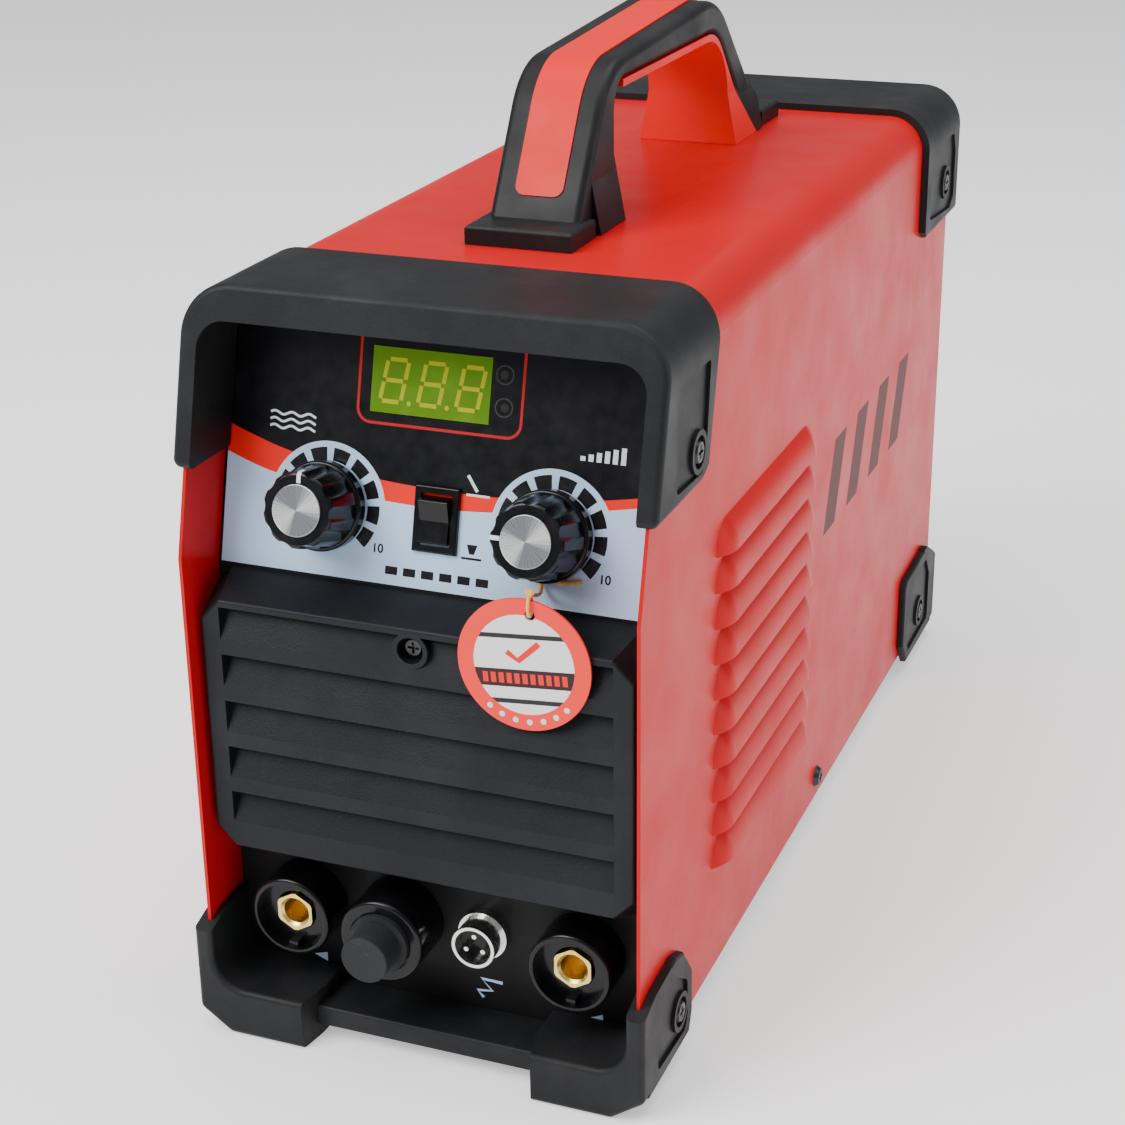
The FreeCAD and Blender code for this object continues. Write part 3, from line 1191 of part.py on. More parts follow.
def make_hang_tag():
    x, y, z = TAG_CENTRE
    disc = rod((x, y - TAG_THICK / 2, z), (0, 1, 0), TAG_R, TAG_THICK)
    return disc.cut(rod((TAG_HOLE_X, y - 3, TAG_HOLE_Z), (0, 1, 0), TAG_HOLE_R, 6))


def from_current_knob(place):
    across, up, out = place
    return PANEL.multVec(Vector(KNOB_U + across, KNOB_V + up, out))


def widest_arcs(points):
    """Largest arc radius that fits at each inner point of a route."""
    radii = []
    for before, here, after in zip(points, points[1:], points[2:]):
        turn = (here - before).getAngle(after - here)
        shorter = min((here - before).Length, (after - here).Length)
        radii.append(0.45 * shorter / math.tan(turn / 2))
    return radii


def make_string_run(route):
    points = [from_current_knob(place) for place in route]
    radii = widest_arcs(points)
    length = rounded_path(points, radii).Length
    run = swept(points, radii, STRING_R)
    print("string run %.1f mm, arcs %.1f mm or more, volume over section times length %.3f"
          % (length, min(radii), run.Volume / (math.pi * STRING_R ** 2 * length)))
    return run


def make_tag_string():
    """String hung on the current knob's bushing, with a short tail, and an eye through the tag's hole."""
    eye_centre = Vector(TAG_HOLE_X, TAG_CENTRE[1], TAG_HOLE_Z + EYE_R)
    eye = Part.makeTorus(EYE_R, STRING_R, eye_centre, Vector(1, 0, 0))
    knots = [Part.makeSphere(KNOT_R, from_current_knob(START_KNOT)),
             Part.makeSphere(KNOT_R, from_current_knob(STRING_ROUTE[-1]))]
    return make_string_run(STRING_ROUTE).multiFuse([eye, make_string_run(TAIL_ROUTE)] + knots)


save("hang_tag", make_hang_tag())
save("tag_string", make_tag_string())
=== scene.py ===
import json
import math

import bmesh
import bpy
from mathutils import Matrix, Vector


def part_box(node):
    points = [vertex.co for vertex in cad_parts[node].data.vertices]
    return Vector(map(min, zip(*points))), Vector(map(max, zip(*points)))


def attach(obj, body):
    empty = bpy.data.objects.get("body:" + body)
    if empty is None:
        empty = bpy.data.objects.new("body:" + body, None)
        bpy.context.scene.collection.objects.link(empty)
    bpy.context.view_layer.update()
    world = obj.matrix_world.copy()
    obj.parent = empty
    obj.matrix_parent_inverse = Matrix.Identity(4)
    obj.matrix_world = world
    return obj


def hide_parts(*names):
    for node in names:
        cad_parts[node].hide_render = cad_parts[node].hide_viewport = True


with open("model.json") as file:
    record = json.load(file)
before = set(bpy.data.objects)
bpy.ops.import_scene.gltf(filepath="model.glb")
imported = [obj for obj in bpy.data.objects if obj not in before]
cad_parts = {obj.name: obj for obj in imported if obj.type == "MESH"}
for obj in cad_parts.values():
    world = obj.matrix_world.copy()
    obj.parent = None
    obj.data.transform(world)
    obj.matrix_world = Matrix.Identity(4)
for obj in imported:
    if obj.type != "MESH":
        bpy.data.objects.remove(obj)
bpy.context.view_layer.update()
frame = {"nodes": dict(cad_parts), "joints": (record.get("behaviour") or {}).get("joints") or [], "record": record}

MM = 0.001
nodes = frame["nodes"]
joints = {j["name"]: j for j in frame["joints"]}
ROOT = "machine"

# ---- places read from the frame ------------------------------------------------------------------
PANEL_OUT = Vector(joints["gas_knob_turn"]["axis"]).normalized()
PANEL_ACROSS = Vector((1, 0, 0))
PANEL_UP = PANEL_OUT.cross(PANEL_ACROSS).normalized()
GAS_AXIS = Vector(joints["gas_knob_turn"]["pos_m"])
CURRENT_AXIS = Vector(joints["current_knob_turn"]["pos_m"])
KNOB_U = CURRENT_AXIS.x / MM
KNOB_V = 23.3  # height of the knobs' axes up the slope of the panel
JOINT_W = 12.0  # height of the knobs' joints over the panel
PANEL_ORIGIN = (GAS_AXIS + CURRENT_AXIS) / 2 - PANEL_UP * KNOB_V * MM - PANEL_OUT * JOINT_W * MM
OVERLAY_W = 0.3  # height of the overlay's face over the panel
PRINT = 0.04  # thickness of a printed mark
PRINT_GAP = 0.01  # space under a mark, so that it never shares a face with what it lies on


def on_panel(u, v, w):
    """Point on the sloping control panel: u across, v up the slope, w out of it, in millimetres."""
    return PANEL_ORIGIN + (PANEL_ACROSS * u + PANEL_UP * v + PANEL_OUT * w) * MM


# ---- camera: the photograph's viewing angle --------------------------------------------------------
VIEW_AZIMUTH = 21.691
VIEW_ELEVATION = 22.553
VIEW_ROLL = -0.735
LOOK_AT = Vector((0.0, -0.0995, 0.1284))
VIEW_OFFSET = (0.01193, 0.01230, 0.77849)
LENS = 71.66


def make_camera():
    azimuth, elevation, roll = (math.radians(a) for a in (VIEW_AZIMUTH, VIEW_ELEVATION, VIEW_ROLL))
    back = Vector((math.sin(azimuth) * math.cos(elevation), -math.cos(azimuth) * math.cos(elevation),
                   math.sin(elevation)))
    level = Vector((math.cos(azimuth), math.sin(azimuth), 0))
    upright = back.cross(level)
    right = level * math.cos(roll) + upright * math.sin(roll)
    up = upright * math.cos(roll) - level * math.sin(roll)
    eye = LOOK_AT + right * VIEW_OFFSET[0] + up * VIEW_OFFSET[1] + back * VIEW_OFFSET[2]
    data = bpy.data.cameras.new("camera")
    data.sensor_width = 36
    data.lens = LENS
    data.clip_start = 0.01
    camera = bpy.data.objects.new("camera", data)
    turn = Matrix((right, up, back)).transposed()
    camera.matrix_world = Matrix.Translation(eye) @ turn.to_4x4()
    bpy.context.scene.collection.objects.link(camera)
    bpy.context.scene.camera = camera


make_camera()


# ---- light and stage -------------------------------------------------------------------------------
SKY_COLOR = (0.95, 0.97, 1.0, 1)
SKY_STRENGTH = 0.36
# Each light's place, the point that it faces and its size, in metres, and its power in watts.
LIGHTS = {
    "key": ((-0.9, -1.3, 1.5), (0, 0, 0.12), (1.2, 1.2), 44),
    "overhead": ((0.1, 0.1, 1.6), (0, 0, 0.1), (1.4, 1.8), 24),
    "side": ((1.6, 0.2, 0.7), (0, 0.1, 0.12), (0.9, 1.4), 10),
}
FLOOR_HALF = 6.0
FLOOR_COLOR = (0.93, 0.93, 0.93, 1)
FLOOR_ROUGHNESS = 0.9
FLOOR_GLOW = 0.5


def area_light(name, place, target, size, power):
    data = bpy.data.lights.new(name, "AREA")
    data.shape = "RECTANGLE"
    data.size, data.size_y = size
    data.energy = power
    lamp = bpy.data.objects.new(name, data)
    lamp.location = place
    lamp.rotation_euler = (Vector(target) - Vector(place)).to_track_quat("-Z", "Y").to_euler()
    bpy.context.scene.collection.objects.link(lamp)


def make_light():
    world = bpy.data.worlds.new("studio")
    world.use_nodes = True
    sky = world.node_tree.nodes["Background"]
    sky.inputs["Color"].default_value = SKY_COLOR
    sky.inputs["Strength"].default_value = SKY_STRENGTH
    bpy.context.scene.world = world
    for name, settings in LIGHTS.items():
        area_light(name, *settings)


def make_stage():
    half = FLOOR_HALF
    mesh = bpy.data.meshes.new("floor")
    corners = [(-half, -half, 0), (half, -half, 0), (half, half, 0), (-half, half, 0)]
    mesh.from_pydata(corners, [], [(0, 1, 2, 3)])
    floor = bpy.data.objects.new("floor", mesh)
    bpy.context.scene.collection.objects.link(floor)
    paint = bpy.data.materials.new("floor_paint")
    paint.use_nodes = True
    shader = paint.node_tree.nodes["Principled BSDF"]
    shader.inputs["Base Color"].default_value = FLOOR_COLOR
    shader.inputs["Roughness"].default_value = FLOOR_ROUGHNESS
    shader.inputs["Emission Color"].default_value = (1, 1, 1, 1)
    shader.inputs["Emission Strength"].default_value = FLOOR_GLOW
    mesh.materials.append(paint)


make_light()
make_stage()


# ---- materials -------------------------------------------------------------------------------------
class Finish:
    """A Principled material whose colour, roughness and bump come from procedural nodes."""

    def __init__(self, name, color, roughness, metallic=0.0):
        self.material = bpy.data.materials.new(name)
        self.material.use_nodes = True
        self.tree = self.material.node_tree
        self.shader = self.tree.nodes["Principled BSDF"]
        self.set("Base Color", (*color, 1))
        self.set("Roughness", roughness)
        self.set("Metallic", metallic)
        self.color = color
        self.coordinates = self.node("ShaderNodeTexCoord").outputs["Object"]
        self.height = None

    def set(self, socket, value):
        self.shader.inputs[socket].default_value = value
        return self

    def node(self, kind):
        return self.tree.nodes.new(kind)

    def link(self, output, target):
        self.tree.links.new(output, target)

    def noise(self, scale, detail, roughness=0.55, stretch=(1, 1, 1)):
        place = self.node("ShaderNodeMapping")
        place.inputs["Scale"].default_value = stretch
        self.link(self.coordinates, place.inputs["Vector"])
        noise = self.node("ShaderNodeTexNoise")
        noise.inputs["Scale"].default_value = scale
        noise.inputs["Detail"].default_value = detail
        noise.inputs["Roughness"].default_value = roughness
        self.link(place.outputs["Vector"], noise.inputs["Vector"])
        return noise.outputs["Fac"]

    def cells(self, scale):
        cells = self.node("ShaderNodeTexVoronoi")
        cells.inputs["Scale"].default_value = scale
        self.link(self.coordinates, cells.inputs["Vector"])
        return cells.outputs["Distance"]

    def math(self, operation, *values):
        node = self.node("ShaderNodeMath")
        node.operation = operation
        for socket, value in zip(node.inputs, values):
            if isinstance(value, (int, float)):
                socket.default_value = value
            else:
                self.link(value, socket)
        return node.outputs["Value"]

    def vector(self, operation, value, other):
        """Vector arithmetic between a socket and a fixed vector."""
        node = self.node("ShaderNodeVectorMath")
        node.operation = operation
        self.link(value, node.inputs[0])
        node.inputs[1].default_value = other
        return node.outputs["Value" if operation == "DOT_PRODUCT" else "Vector"]

    def span(self, value, low, high, to_low, to_high):
        """Value stretched from low..high to to_low..to_high, and held at the ends."""
        ramp = self.node("ShaderNodeMapRange")
        ramp.inputs["From Min"].default_value = low
        ramp.inputs["From Max"].default_value = high
        ramp.inputs["To Min"].default_value = to_low
        ramp.inputs["To Max"].default_value = to_high
        self.link(value, ramp.inputs["Value"])
        return ramp.outputs["Result"]

    def tint(self, amount, color):
        """Mix another colour over the base where amount is high."""
        mix = self.node("ShaderNodeMix")
        mix.data_type = "RGBA"
        mix.inputs["A"].default_value = (*self.color, 1)
        mix.inputs["B"].default_value = (*color, 1)
        socket = self.shader.inputs["Base Color"]
        if socket.is_linked:
            self.link(socket.links[0].from_socket, mix.inputs["A"])
        self.link(amount, mix.inputs["Factor"])
        self.link(mix.outputs["Result"], socket)
        return self

    def rough(self, value):
        self.link(value, self.shader.inputs["Roughness"])
        return self

    def bump(self, height, depth_mm, strength):
        """Relief of a real depth, laid over any relief that is already there."""
        bump = self.node("ShaderNodeBump")
        bump.inputs["Strength"].default_value = strength
        bump.inputs["Distance"].default_value = depth_mm * MM
        self.link(height, bump.inputs["Height"])
        if self.height is not None:
            self.link(self.height, bump.inputs["Normal"])
        self.height = bump.outputs["Normal"]
        self.link(self.height, self.shader.inputs["Normal"])
        return self


def paint_finish(name, color, darker, roughness=0.34):
    """Baked paint: faint clouds of a darker shade, fine orange peel and a gently wavy sheet."""
    f = Finish(name, color, roughness)
    f.set("Coat Weight", 0.05).set("Coat Roughness", 0.16).set("Specular IOR Level", 0.1)
    f.tint(f.span(f.noise(9, 4), 0.35, 0.7, 0.0, 0.35), darker)
    f.rough(f.span(f.noise(35, 5), 0.3, 0.75, roughness - 0.05, roughness + 0.12))
    f.bump(f.noise(520, 2), 0.02, 0.35)
    f.bump(f.noise(14, 2), 0.12, 0.25)
    return f.material


def moulded_finish(name, color, lighter, roughness, grain_scale=1500, grain_depth=0.05, dust=0.5):
    """Moulded plastic: spark-eroded grain, rubbed patches and a film of dust."""
    f = Finish(name, color, roughness)
    f.set("Specular IOR Level", 0.18)
    f.tint(f.span(f.noise(28, 6, 0.65), 0.45, 0.8, 0.0, dust), lighter)
    f.tint(f.span(f.noise(900, 2), 0.62, 0.75, 0.0, dust * 0.6), lighter)
    f.rough(f.span(f.noise(40, 5), 0.3, 0.7, roughness - 0.08, roughness + 0.1))
    f.bump(f.cells(grain_scale), grain_depth, 0.6)
    f.bump(f.noise(grain_scale * 0.35, 3), grain_depth, 0.4)
    return f.material


def gloss_finish(name, color, roughness, coat=0.15):
    """Smooth plastic or film with faint haze and handling marks."""
    f = Finish(name, color, roughness)
    f.set("Coat Weight", coat).set("Coat Roughness", 0.06).set("Specular IOR Level", 0.22)
    f.tint(f.span(f.noise(60, 4), 0.5, 0.8, 0.0, 0.4), tuple(min(1, c * 2 + 0.012) for c in color))
    f.rough(f.span(f.noise(220, 5), 0.35, 0.75, roughness - 0.05, roughness + 0.12))
    f.bump(f.noise(700, 2), 0.01, 0.4)
    return f.material


def metal_finish(name, color, darker, roughness):
    """Bare or plated metal, dulled in patches."""
    f = Finish(name, color, roughness, 1.0)
    f.tint(f.span(f.noise(45, 5), 0.4, 0.75, 0.0, 0.6), darker)
    f.rough(f.span(f.noise(300, 4, 0.6), 0.3, 0.7, roughness - 0.08, roughness + 0.14))
    f.bump(f.noise(450, 3, 0.6), 0.02, 0.5)
    return f.material


def card_finish(name, color, fibre):
    """Matt ink with the grain of what it is printed on."""
    f = Finish(name, color, 0.55)
    f.set("Specular IOR Level", 0.25)
    f.tint(f.span(f.noise(260, 5), 0.5, 0.85, 0.0, 0.18), fibre)
    f.bump(f.noise(1800, 3), 0.015, 0.5)
    return f.material


def spun_glint_finish(name, centre, glint_at):
    """Turned aluminium: fine streaks run out from the knob's axis. The bright and dull sectors are a painted
    reflection, the highlight of spun metal tinted into its colour.
    """
    f = Finish(name, (0.30, 0.31, 0.33), 0.3, 1.0)
    away = f.vector("SUBTRACT", f.coordinates, centre)
    rise, run = (f.vector("DOT_PRODUCT", away, way) for way in (PANEL_UP, PANEL_ACROSS))
    angle = f.math("ARCTAN2", rise, run)
    sector = f.math("COSINE", f.math("MULTIPLY", f.math("SUBTRACT", angle, math.radians(glint_at)), 2.0))
    minor = f.math("COSINE", f.math("MULTIPLY", f.math("SUBTRACT", angle, 0.4), 5.0))
    streaks = f.node("ShaderNodeTexNoise")
    streaks.noise_dimensions = "1D"
    streaks.inputs["Scale"].default_value = 24
    streaks.inputs["Detail"].default_value = 3
    f.link(angle, streaks.inputs["W"])
    # Painted reflection: two bright sectors and fainter lobes round the axis, varied along the streaks, tint the
    # cap towards white.
    light = f.math("ADD", f.math("MULTIPLY", sector, 0.55), f.math("MULTIPLY", minor, 0.13))
    light = f.math("ADD", light, f.span(streaks.outputs["Fac"], 0.3, 0.7, -0.14, 0.14))
    f.tint(f.span(light, -0.15, 0.6, 0.0, 1.0), (1.0, 1.0, 0.99))
    f.rough(f.span(streaks.outputs["Fac"], 0.3, 0.7, 0.24, 0.4))
    f.bump(streaks.outputs["Fac"], 0.02, 0.4)
    return f.material


def tag_finish(name, centre, inner_radius):
    """White card with a printed red ring round its edge."""
    f = Finish(name, (0.80, 0.80, 0.79), 0.42)
    f.set("Specular IOR Level", 0.3)
    away = f.vector("SUBTRACT", f.coordinates, centre)
    flat = f.vector("MULTIPLY", away, (1, 0, 1))
    length = f.node("ShaderNodeVectorMath")
    length.operation = "LENGTH"
    f.link(flat, length.inputs[0])
    edge = 0.05 * MM
    f.tint(f.span(f.noise(260, 5), 0.5, 0.85, 0.0, 0.2), (0.70, 0.69, 0.66))
    in_ring = f.span(length.outputs["Value"], inner_radius - edge, inner_radius + edge, 0.0, 1.0)
    f.tint(in_ring, (0.95, 0.030, 0.016))
    f.rough(f.span(f.noise(90, 5), 0.3, 0.7, 0.34, 0.5))
    f.bump(f.noise(1800, 3), 0.015, 0.5)
    return f.material


def string_finish(name):
    """Twisted cotton: fine slanting ridges and stray lighter fibres."""
    f = Finish(name, (0.87, 0.40, 0.035), 0.7)
    f.set("Sheen Weight", 0.4)
    f.tint(f.span(f.noise(900, 5, 0.6, (1, 1, 0.4)), 0.45, 0.75, 0.0, 0.8), (0.95, 0.66, 0.16))
    ridges = f.node("ShaderNodeTexWave")
    ridges.bands_direction = "DIAGONAL"
    ridges.inputs["Scale"].default_value = 260
    ridges.inputs["Distortion"].default_value = 2.0
    f.link(f.coordinates, ridges.inputs["Vector"])
    f.bump(ridges.outputs["Fac"], 0.12, 0.7)
    return f.material


TAG_LOW, TAG_HIGH = (Vector(corner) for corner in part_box("hang_tag"))
TAG_CENTRE = (TAG_LOW + TAG_HIGH) / 2
TAG_WHITE_R = 16.4
CAP_GLINT_AT = 28  # degrees from across the panel to the middle of a cap's painted highlight sector

PAINTS = {
    "red_paint": ((0.56, 0.003, 0.006), (0.47, 0.002, 0.005)),
    "panel_black": ((0.009, 0.009, 0.010), (0.02, 0.02, 0.022), 0.42),
}
MOULDINGS = {
    "bumper_black": ((0.011, 0.0115, 0.0125), (0.034, 0.034, 0.036), 0.5),
    "handle_black": ((0.009, 0.009, 0.010), (0.028, 0.028, 0.030), 0.44, 1700, 0.04),
    "handle_red": ((0.80, 0.008, 0.006), (0.84, 0.025, 0.018), 0.42, 1900, 0.02, 0.25),
    "grille_black": ((0.008, 0.009, 0.011), (0.024, 0.027, 0.032), 0.46, 1300, 0.05),
    "dust_rubber": ((0.022, 0.023, 0.025), (0.08, 0.08, 0.085), 0.66, 2200, 0.03),
    "fan_plastic": ((0.014, 0.014, 0.015), (0.05, 0.05, 0.05), 0.5),
    "ferrite": ((0.05, 0.05, 0.052), (0.1, 0.1, 0.1), 0.6),
    "hose_rubber": ((0.03, 0.03, 0.03), (0.07, 0.07, 0.07), 0.6),
}
GLOSSES = {
    "overlay_print": ((0.003, 0.003, 0.0045), 0.34, 0.0),
    "green_filter": ((0.10, 0.225, 0.0), 0.34, 0.0),
    "black_plastic": ((0.004, 0.004, 0.005), 0.2, 0.1),
    "lamp_lens": ((0.03, 0.03, 0.028), 0.12),
    "board_green": ((0.01, 0.13, 0.05), 0.3),
    "capacitor_sleeve": ((0.02, 0.03, 0.07), 0.25),
}
METALS = {
    "zinc_steel": ((0.52, 0.53, 0.52), (0.38, 0.39, 0.36), 0.36),
    "black_screws": ((0.045, 0.045, 0.047), (0.10, 0.10, 0.10), 0.38),
    "knob_aluminium": ((0.80, 0.80, 0.81), (0.55, 0.55, 0.56), 0.26),
    "potentiometer_metal": ((0.62, 0.61, 0.58), (0.4, 0.4, 0.38), 0.32),
    "brass": ((0.92, 0.70, 0.25), (0.72, 0.46, 0.10), 0.3),
    "connector_chrome": ((0.80, 0.79, 0.75), (0.5, 0.49, 0.45), 0.17),
    "guard_wire": ((0.68, 0.68, 0.68), (0.45, 0.45, 0.45), 0.2),
    "sink_aluminium": ((0.7, 0.7, 0.71), (0.5, 0.5, 0.5), 0.38),
    "winding": ((0.62, 0.27, 0.10), (0.35, 0.13, 0.05), 0.35),
    "valve_body": ((0.6, 0.6, 0.58), (0.45, 0.45, 0.42), 0.4),
}
INKS = {
    "print_pale": ((0.50, 0.68, 0.90), (0.58, 0.72, 0.90)),
    "print_red": ((0.90, 0.008, 0.002), (0.92, 0.02, 0.008)),
    "print_white": ((0.72, 0.76, 0.80), (0.8, 0.82, 0.85)),
    "print_digit": ((0.44, 0.44, 0.0), (0.5, 0.5, 0.01)),
    "print_frame": ((0.48, 0.006, 0.008), (0.52, 0.012, 0.012)),
    "print_smoke": ((0.085, 0.012, 0.014), (0.11, 0.02, 0.022)),
    "print_dim": ((0.035, 0.04, 0.035), (0.05, 0.055, 0.05)),
    "tag_red": ((0.84, 0.012, 0.008), (0.88, 0.03, 0.02)),
    "tag_band": ((0.035, 0.012, 0.014), (0.06, 0.02, 0.022)),
}


def finishes(make, table):
    return {name: make(name, *settings) for name, settings in table.items()}


MATERIALS = {
    **finishes(paint_finish, PAINTS),
    **finishes(moulded_finish, MOULDINGS),
    **finishes(gloss_finish, GLOSSES),
    **finishes(metal_finish, METALS),
    "tag_card": tag_finish("tag_card", TAG_CENTRE, TAG_WHITE_R * MM),
    "tag_cord": string_finish("tag_cord"),
}
PRINTS = finishes(card_finish, INKS)
PRINTS["print_black"] = gloss_finish("print_black", (0.010, 0.010, 0.012), 0.25)

slots = {s["node"]: s["material_slot"] for s in frame["record"]["subparts"]}
for node_name, node in nodes.items():
    node.data.materials.clear()
    node.data.materials.append(MATERIALS[slots[node_name]])
# Each cap's spun metal carries a painted reflection, its bright sectors centred on that knob's own axis.
for cap_name, axis_point in (("gas_knob_cap", GAS_AXIS), ("current_knob_cap", CURRENT_AXIS)):
    nodes[cap_name].data.materials[0] = spun_glint_finish(cap_name + "_spun_glint", axis_point, CAP_GLINT_AT)


# ---- mesh helpers ----------------------------------------------------------------------------------
WELD = 1e-7  # metres


def add_piece(name, vertices, faces, material, body, slot):
    """Mesh piece with its faces turned outwards, on a body; the slot argument is not used."""
    mesh = bpy.data.meshes.new(name)
    mesh.from_pydata([tuple(v) for v in vertices], [], faces)
    mesh.materials.append(material)
    work = bmesh.new()
    work.from_mesh(mesh)
    bmesh.ops.remove_doubles(work, verts=work.verts, dist=WELD)
    bmesh.ops.recalc_face_normals(work, faces=work.faces)
    work.to_mesh(mesh)
    work.free()
    piece = bpy.data.objects.new(name, mesh)
    bpy.context.scene.collection.objects.link(piece)
    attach(piece, body)


def prism_data(outline, place, low, high):
    """Vertices and faces of an outline of (a, b) points pulled from low to high."""
    count = len(outline)
    vertices = [place(a, b, low) for a, b in outline] + [place(a, b, high) for a, b in outline]
    faces = [tuple(range(count))[::-1], tuple(range(count, 2 * count))]
    faces += [(k, (k + 1) % count, count + (k + 1) % count, count + k) for k in range(count)]
    return vertices, faces


def station_faces(count, closed):
    """Faces of a bar with four corners at each of its stations."""
    faces = []
    for k in range(count if closed else count - 1):
        a, b = 4 * k, 4 * ((k + 1) % count)
        faces += [(a, a + 2, b + 2, b), (a + 1, b + 1, b + 3, a + 3)]
        faces += [(a, b, b + 1, a + 1), (a + 2, a + 3, b + 3, b + 2)]
    if not closed:
        last = 4 * (count - 1)
        faces += [(0, 1, 3, 2), (last, last + 2, last + 3, last + 1)]
    return faces


def ring_data(centre, inner, outer, start, stop, place, low, high, steps):
    """Part of a flat ring, angles in degrees clockwise from the top, or a full ring."""
    vertices = []
    full = abs(stop - start) >= 360
    rows = steps if full else steps + 1
    for k in range(rows):
        turn = math.radians(start + (stop - start) * k / steps)
        for radius in (inner, outer):
            for w in (low, high):
                across, up = radius * math.sin(turn), radius * math.cos(turn)
                vertices.append(place(centre[0] + across, centre[1] + up, w))
    return vertices, station_faces(rows, full)


def ribbon_data(points, width, place, low, high):
    """Line of constant width through the points, from low to high."""
    vertices = []
    for k, (a, b) in enumerate(points):
        before, after = points[max(k - 1, 0)], points[min(k + 1, len(points) - 1)]
        along = Vector((after[0] - before[0], after[1] - before[1])).normalized()
        side = Vector((-along.y, along.x)) * width / 2
        for sign in (1, -1):
            vertices += [place(a + sign * side.x, b + sign * side.y, w) for w in (low, high)]
    return vertices, station_faces(len(points), False)


def joined(parts):
    """Vertices and faces of several parts as one."""
    vertices, faces = [], []
    for part_vertices, part_faces in parts:
        start = len(vertices)
        vertices += part_vertices
        faces += [tuple(start + i for i in face) for face in part_faces]
    return vertices, faces


def curve_through(points, steps=12):
    """Smooth line through the points (Catmull-Rom)."""
    result = []
    for k in range(len(points) - 1):
        p0 = points[max(k - 1, 0)]
        p1, p2 = points[k], points[k + 1]
        p3 = points[min(k + 2, len(points) - 1)]
        for step in range(steps):
            t = step / steps
            result.append(tuple(
                0.5 * (2 * b + (c - a) * t + (2 * a - 5 * b + 4 * c - d) * t * t
                       + (3 * b - a - 3 * c + d) * t ** 3)
                for a, b, c, d in zip(p0, p1, p2, p3)))
    return result + [tuple(points[-1])]


def box_outline(a0, a1, b0, b1):
    return [(a0, b0), (a1, b0), (a1, b1), (a0, b1)]


def disc_outline(a, b, radius, steps=16):
    turns = [2 * math.pi * k / steps for k in range(steps)]
    return [(a + radius * math.cos(turn), b + radius * math.sin(turn)) for turn in turns]


# ---- printing on the control panel -------------------------------------------------------------------
# Heights over the panel at which the layers of print start.
LAYER_1 = OVERLAY_W + PRINT_GAP
LAYER_2 = LAYER_1 + PRINT
LAYER_3 = LAYER_2 + PRINT
EDGE_U = 74.6  # from the panel's middle to the side edge of its print
PALE_FOOT_V = 0.7  # the lower edge of the pale field


def print_outline(outline, layer):
    return prism_data(outline, on_panel, layer, layer + PRINT)


def print_line(points, width, layer):
    return ribbon_data(points, width, on_panel, layer, layer + PRINT)


def add_print(name, parts, ink):
    """A mark that rides on the machine, made of one or more parts."""
    add_piece(name, *joined(parts), PRINTS[ink], ROOT, "overlay_print")


# Upper and lower edges of the red band, each a smooth line through these places.
BAND_TOP = [(-EDGE_U, 45.6), (-65, 42.4), (-54.5, 39.4), (-37, 35.6), (-20, 33.4), (0, 32.4), (18, 32.4),
            (37, 33.8), (55, 35.9), (EDGE_U, 39.6)]
BAND_BOTTOM = [(-EDGE_U, 36.5), (-59, 31.8), (-37, 28.6), (-20, 27.0), (0, 26.6), (18, 27.6), (37, 30.0),
               (55, 32.7), (EDGE_U, 36.6)]


def make_band():
    low = curve_through(BAND_BOTTOM)
    high = curve_through(BAND_TOP)
    pale = [(-EDGE_U, PALE_FOOT_V), (EDGE_U, PALE_FOOT_V)] + low[::-1]
    add_print("panel_pale_field", [print_outline(pale, LAYER_1)], "print_pale")
    add_print("panel_red_band", [print_outline(low + high[::-1], LAYER_1)], "print_red")


# Angles in degrees clockwise from the top, radii and widths in millimetres. The gap between two boxes is
# as wide as it says at the gap's radius.
DIAL_BOXES = 10
DIAL_SWEEP = 270.0
DIAL_START = -135.0
DIAL_OVERRUN = 5
DIAL_R = 20.2
DIAL_HOLE_R = 10.5
BOX_OUTER_R = 18.3
BOX_INNER_R = 14.1
BOX_GAP = 2.1
BOX_GAP_R = 15.0


def make_dial(name, u):
    centre = (u, KNOB_V)
    first, last = DIAL_START - DIAL_OVERRUN, DIAL_START + DIAL_SWEEP + DIAL_OVERRUN
    pale = ring_data(centre, DIAL_HOLE_R, DIAL_R, first, last, on_panel, LAYER_2, LAYER_2 + PRINT, 96)
    add_print(name + "_dial", [pale], "print_pale")
    pitch = DIAL_SWEEP / DIAL_BOXES
    gap = math.degrees(BOX_GAP / BOX_GAP_R)
    boxes = []
    for k in range(DIAL_BOXES):
        start = DIAL_START + pitch * k + gap / 2
        boxes.append(ring_data(centre, BOX_INNER_R, BOX_OUTER_R, start, start + pitch - gap, on_panel,
                               LAYER_3, LAYER_3 + PRINT, 8))
    add_print(name + "_dial_boxes", boxes, "print_black")


SEGMENTS = {
    "top": ((0.1, 1), (0.9, 1)), "middle": ((0.1, 0.5), (0.9, 0.5)), "bottom": ((0.1, 0), (0.9, 0)),
    "upper_left": ((0, 0.95), (0, 0.55)), "upper_right": ((1, 0.95), (1, 0.55)),
    "lower_left": ((0, 0.45), (0, 0.05)), "lower_right": ((1, 0.45), (1, 0.05)),
}
DIGIT_WIDTH = 7.1
DIGIT_HEIGHT = 13.2
DIGIT_SLANT = 0.16
DIGIT_STROKE = 1.35
DIGIT_U = (-22.3, -9.4, 3.5)
DIGIT_V = 58.1
POINT_U = (-12.4, 0.5)
POINT_V = 58.0
POINT_R = 0.75
# The digits lie on the face of the window, which stands 0.1 mm over the overlay.
DIGIT_LOW = OVERLAY_W + 0.11
DIGIT_HIGH = OVERLAY_W + 0.16
# The red line round the display runs up under the hood, so it is open at the top.
FRAME_LEFT, FRAME_RIGHT = -29.7, 25.4
FRAME_FOOT, FRAME_TOP = 51.0, 84.0
FRAME_CORNER_R = 4.5
FRAME_LINE = 0.9
LAMPS = ((19.0, 70.1), (19.4, 60.1))
LAMP_RING = (2.6, 3.05)


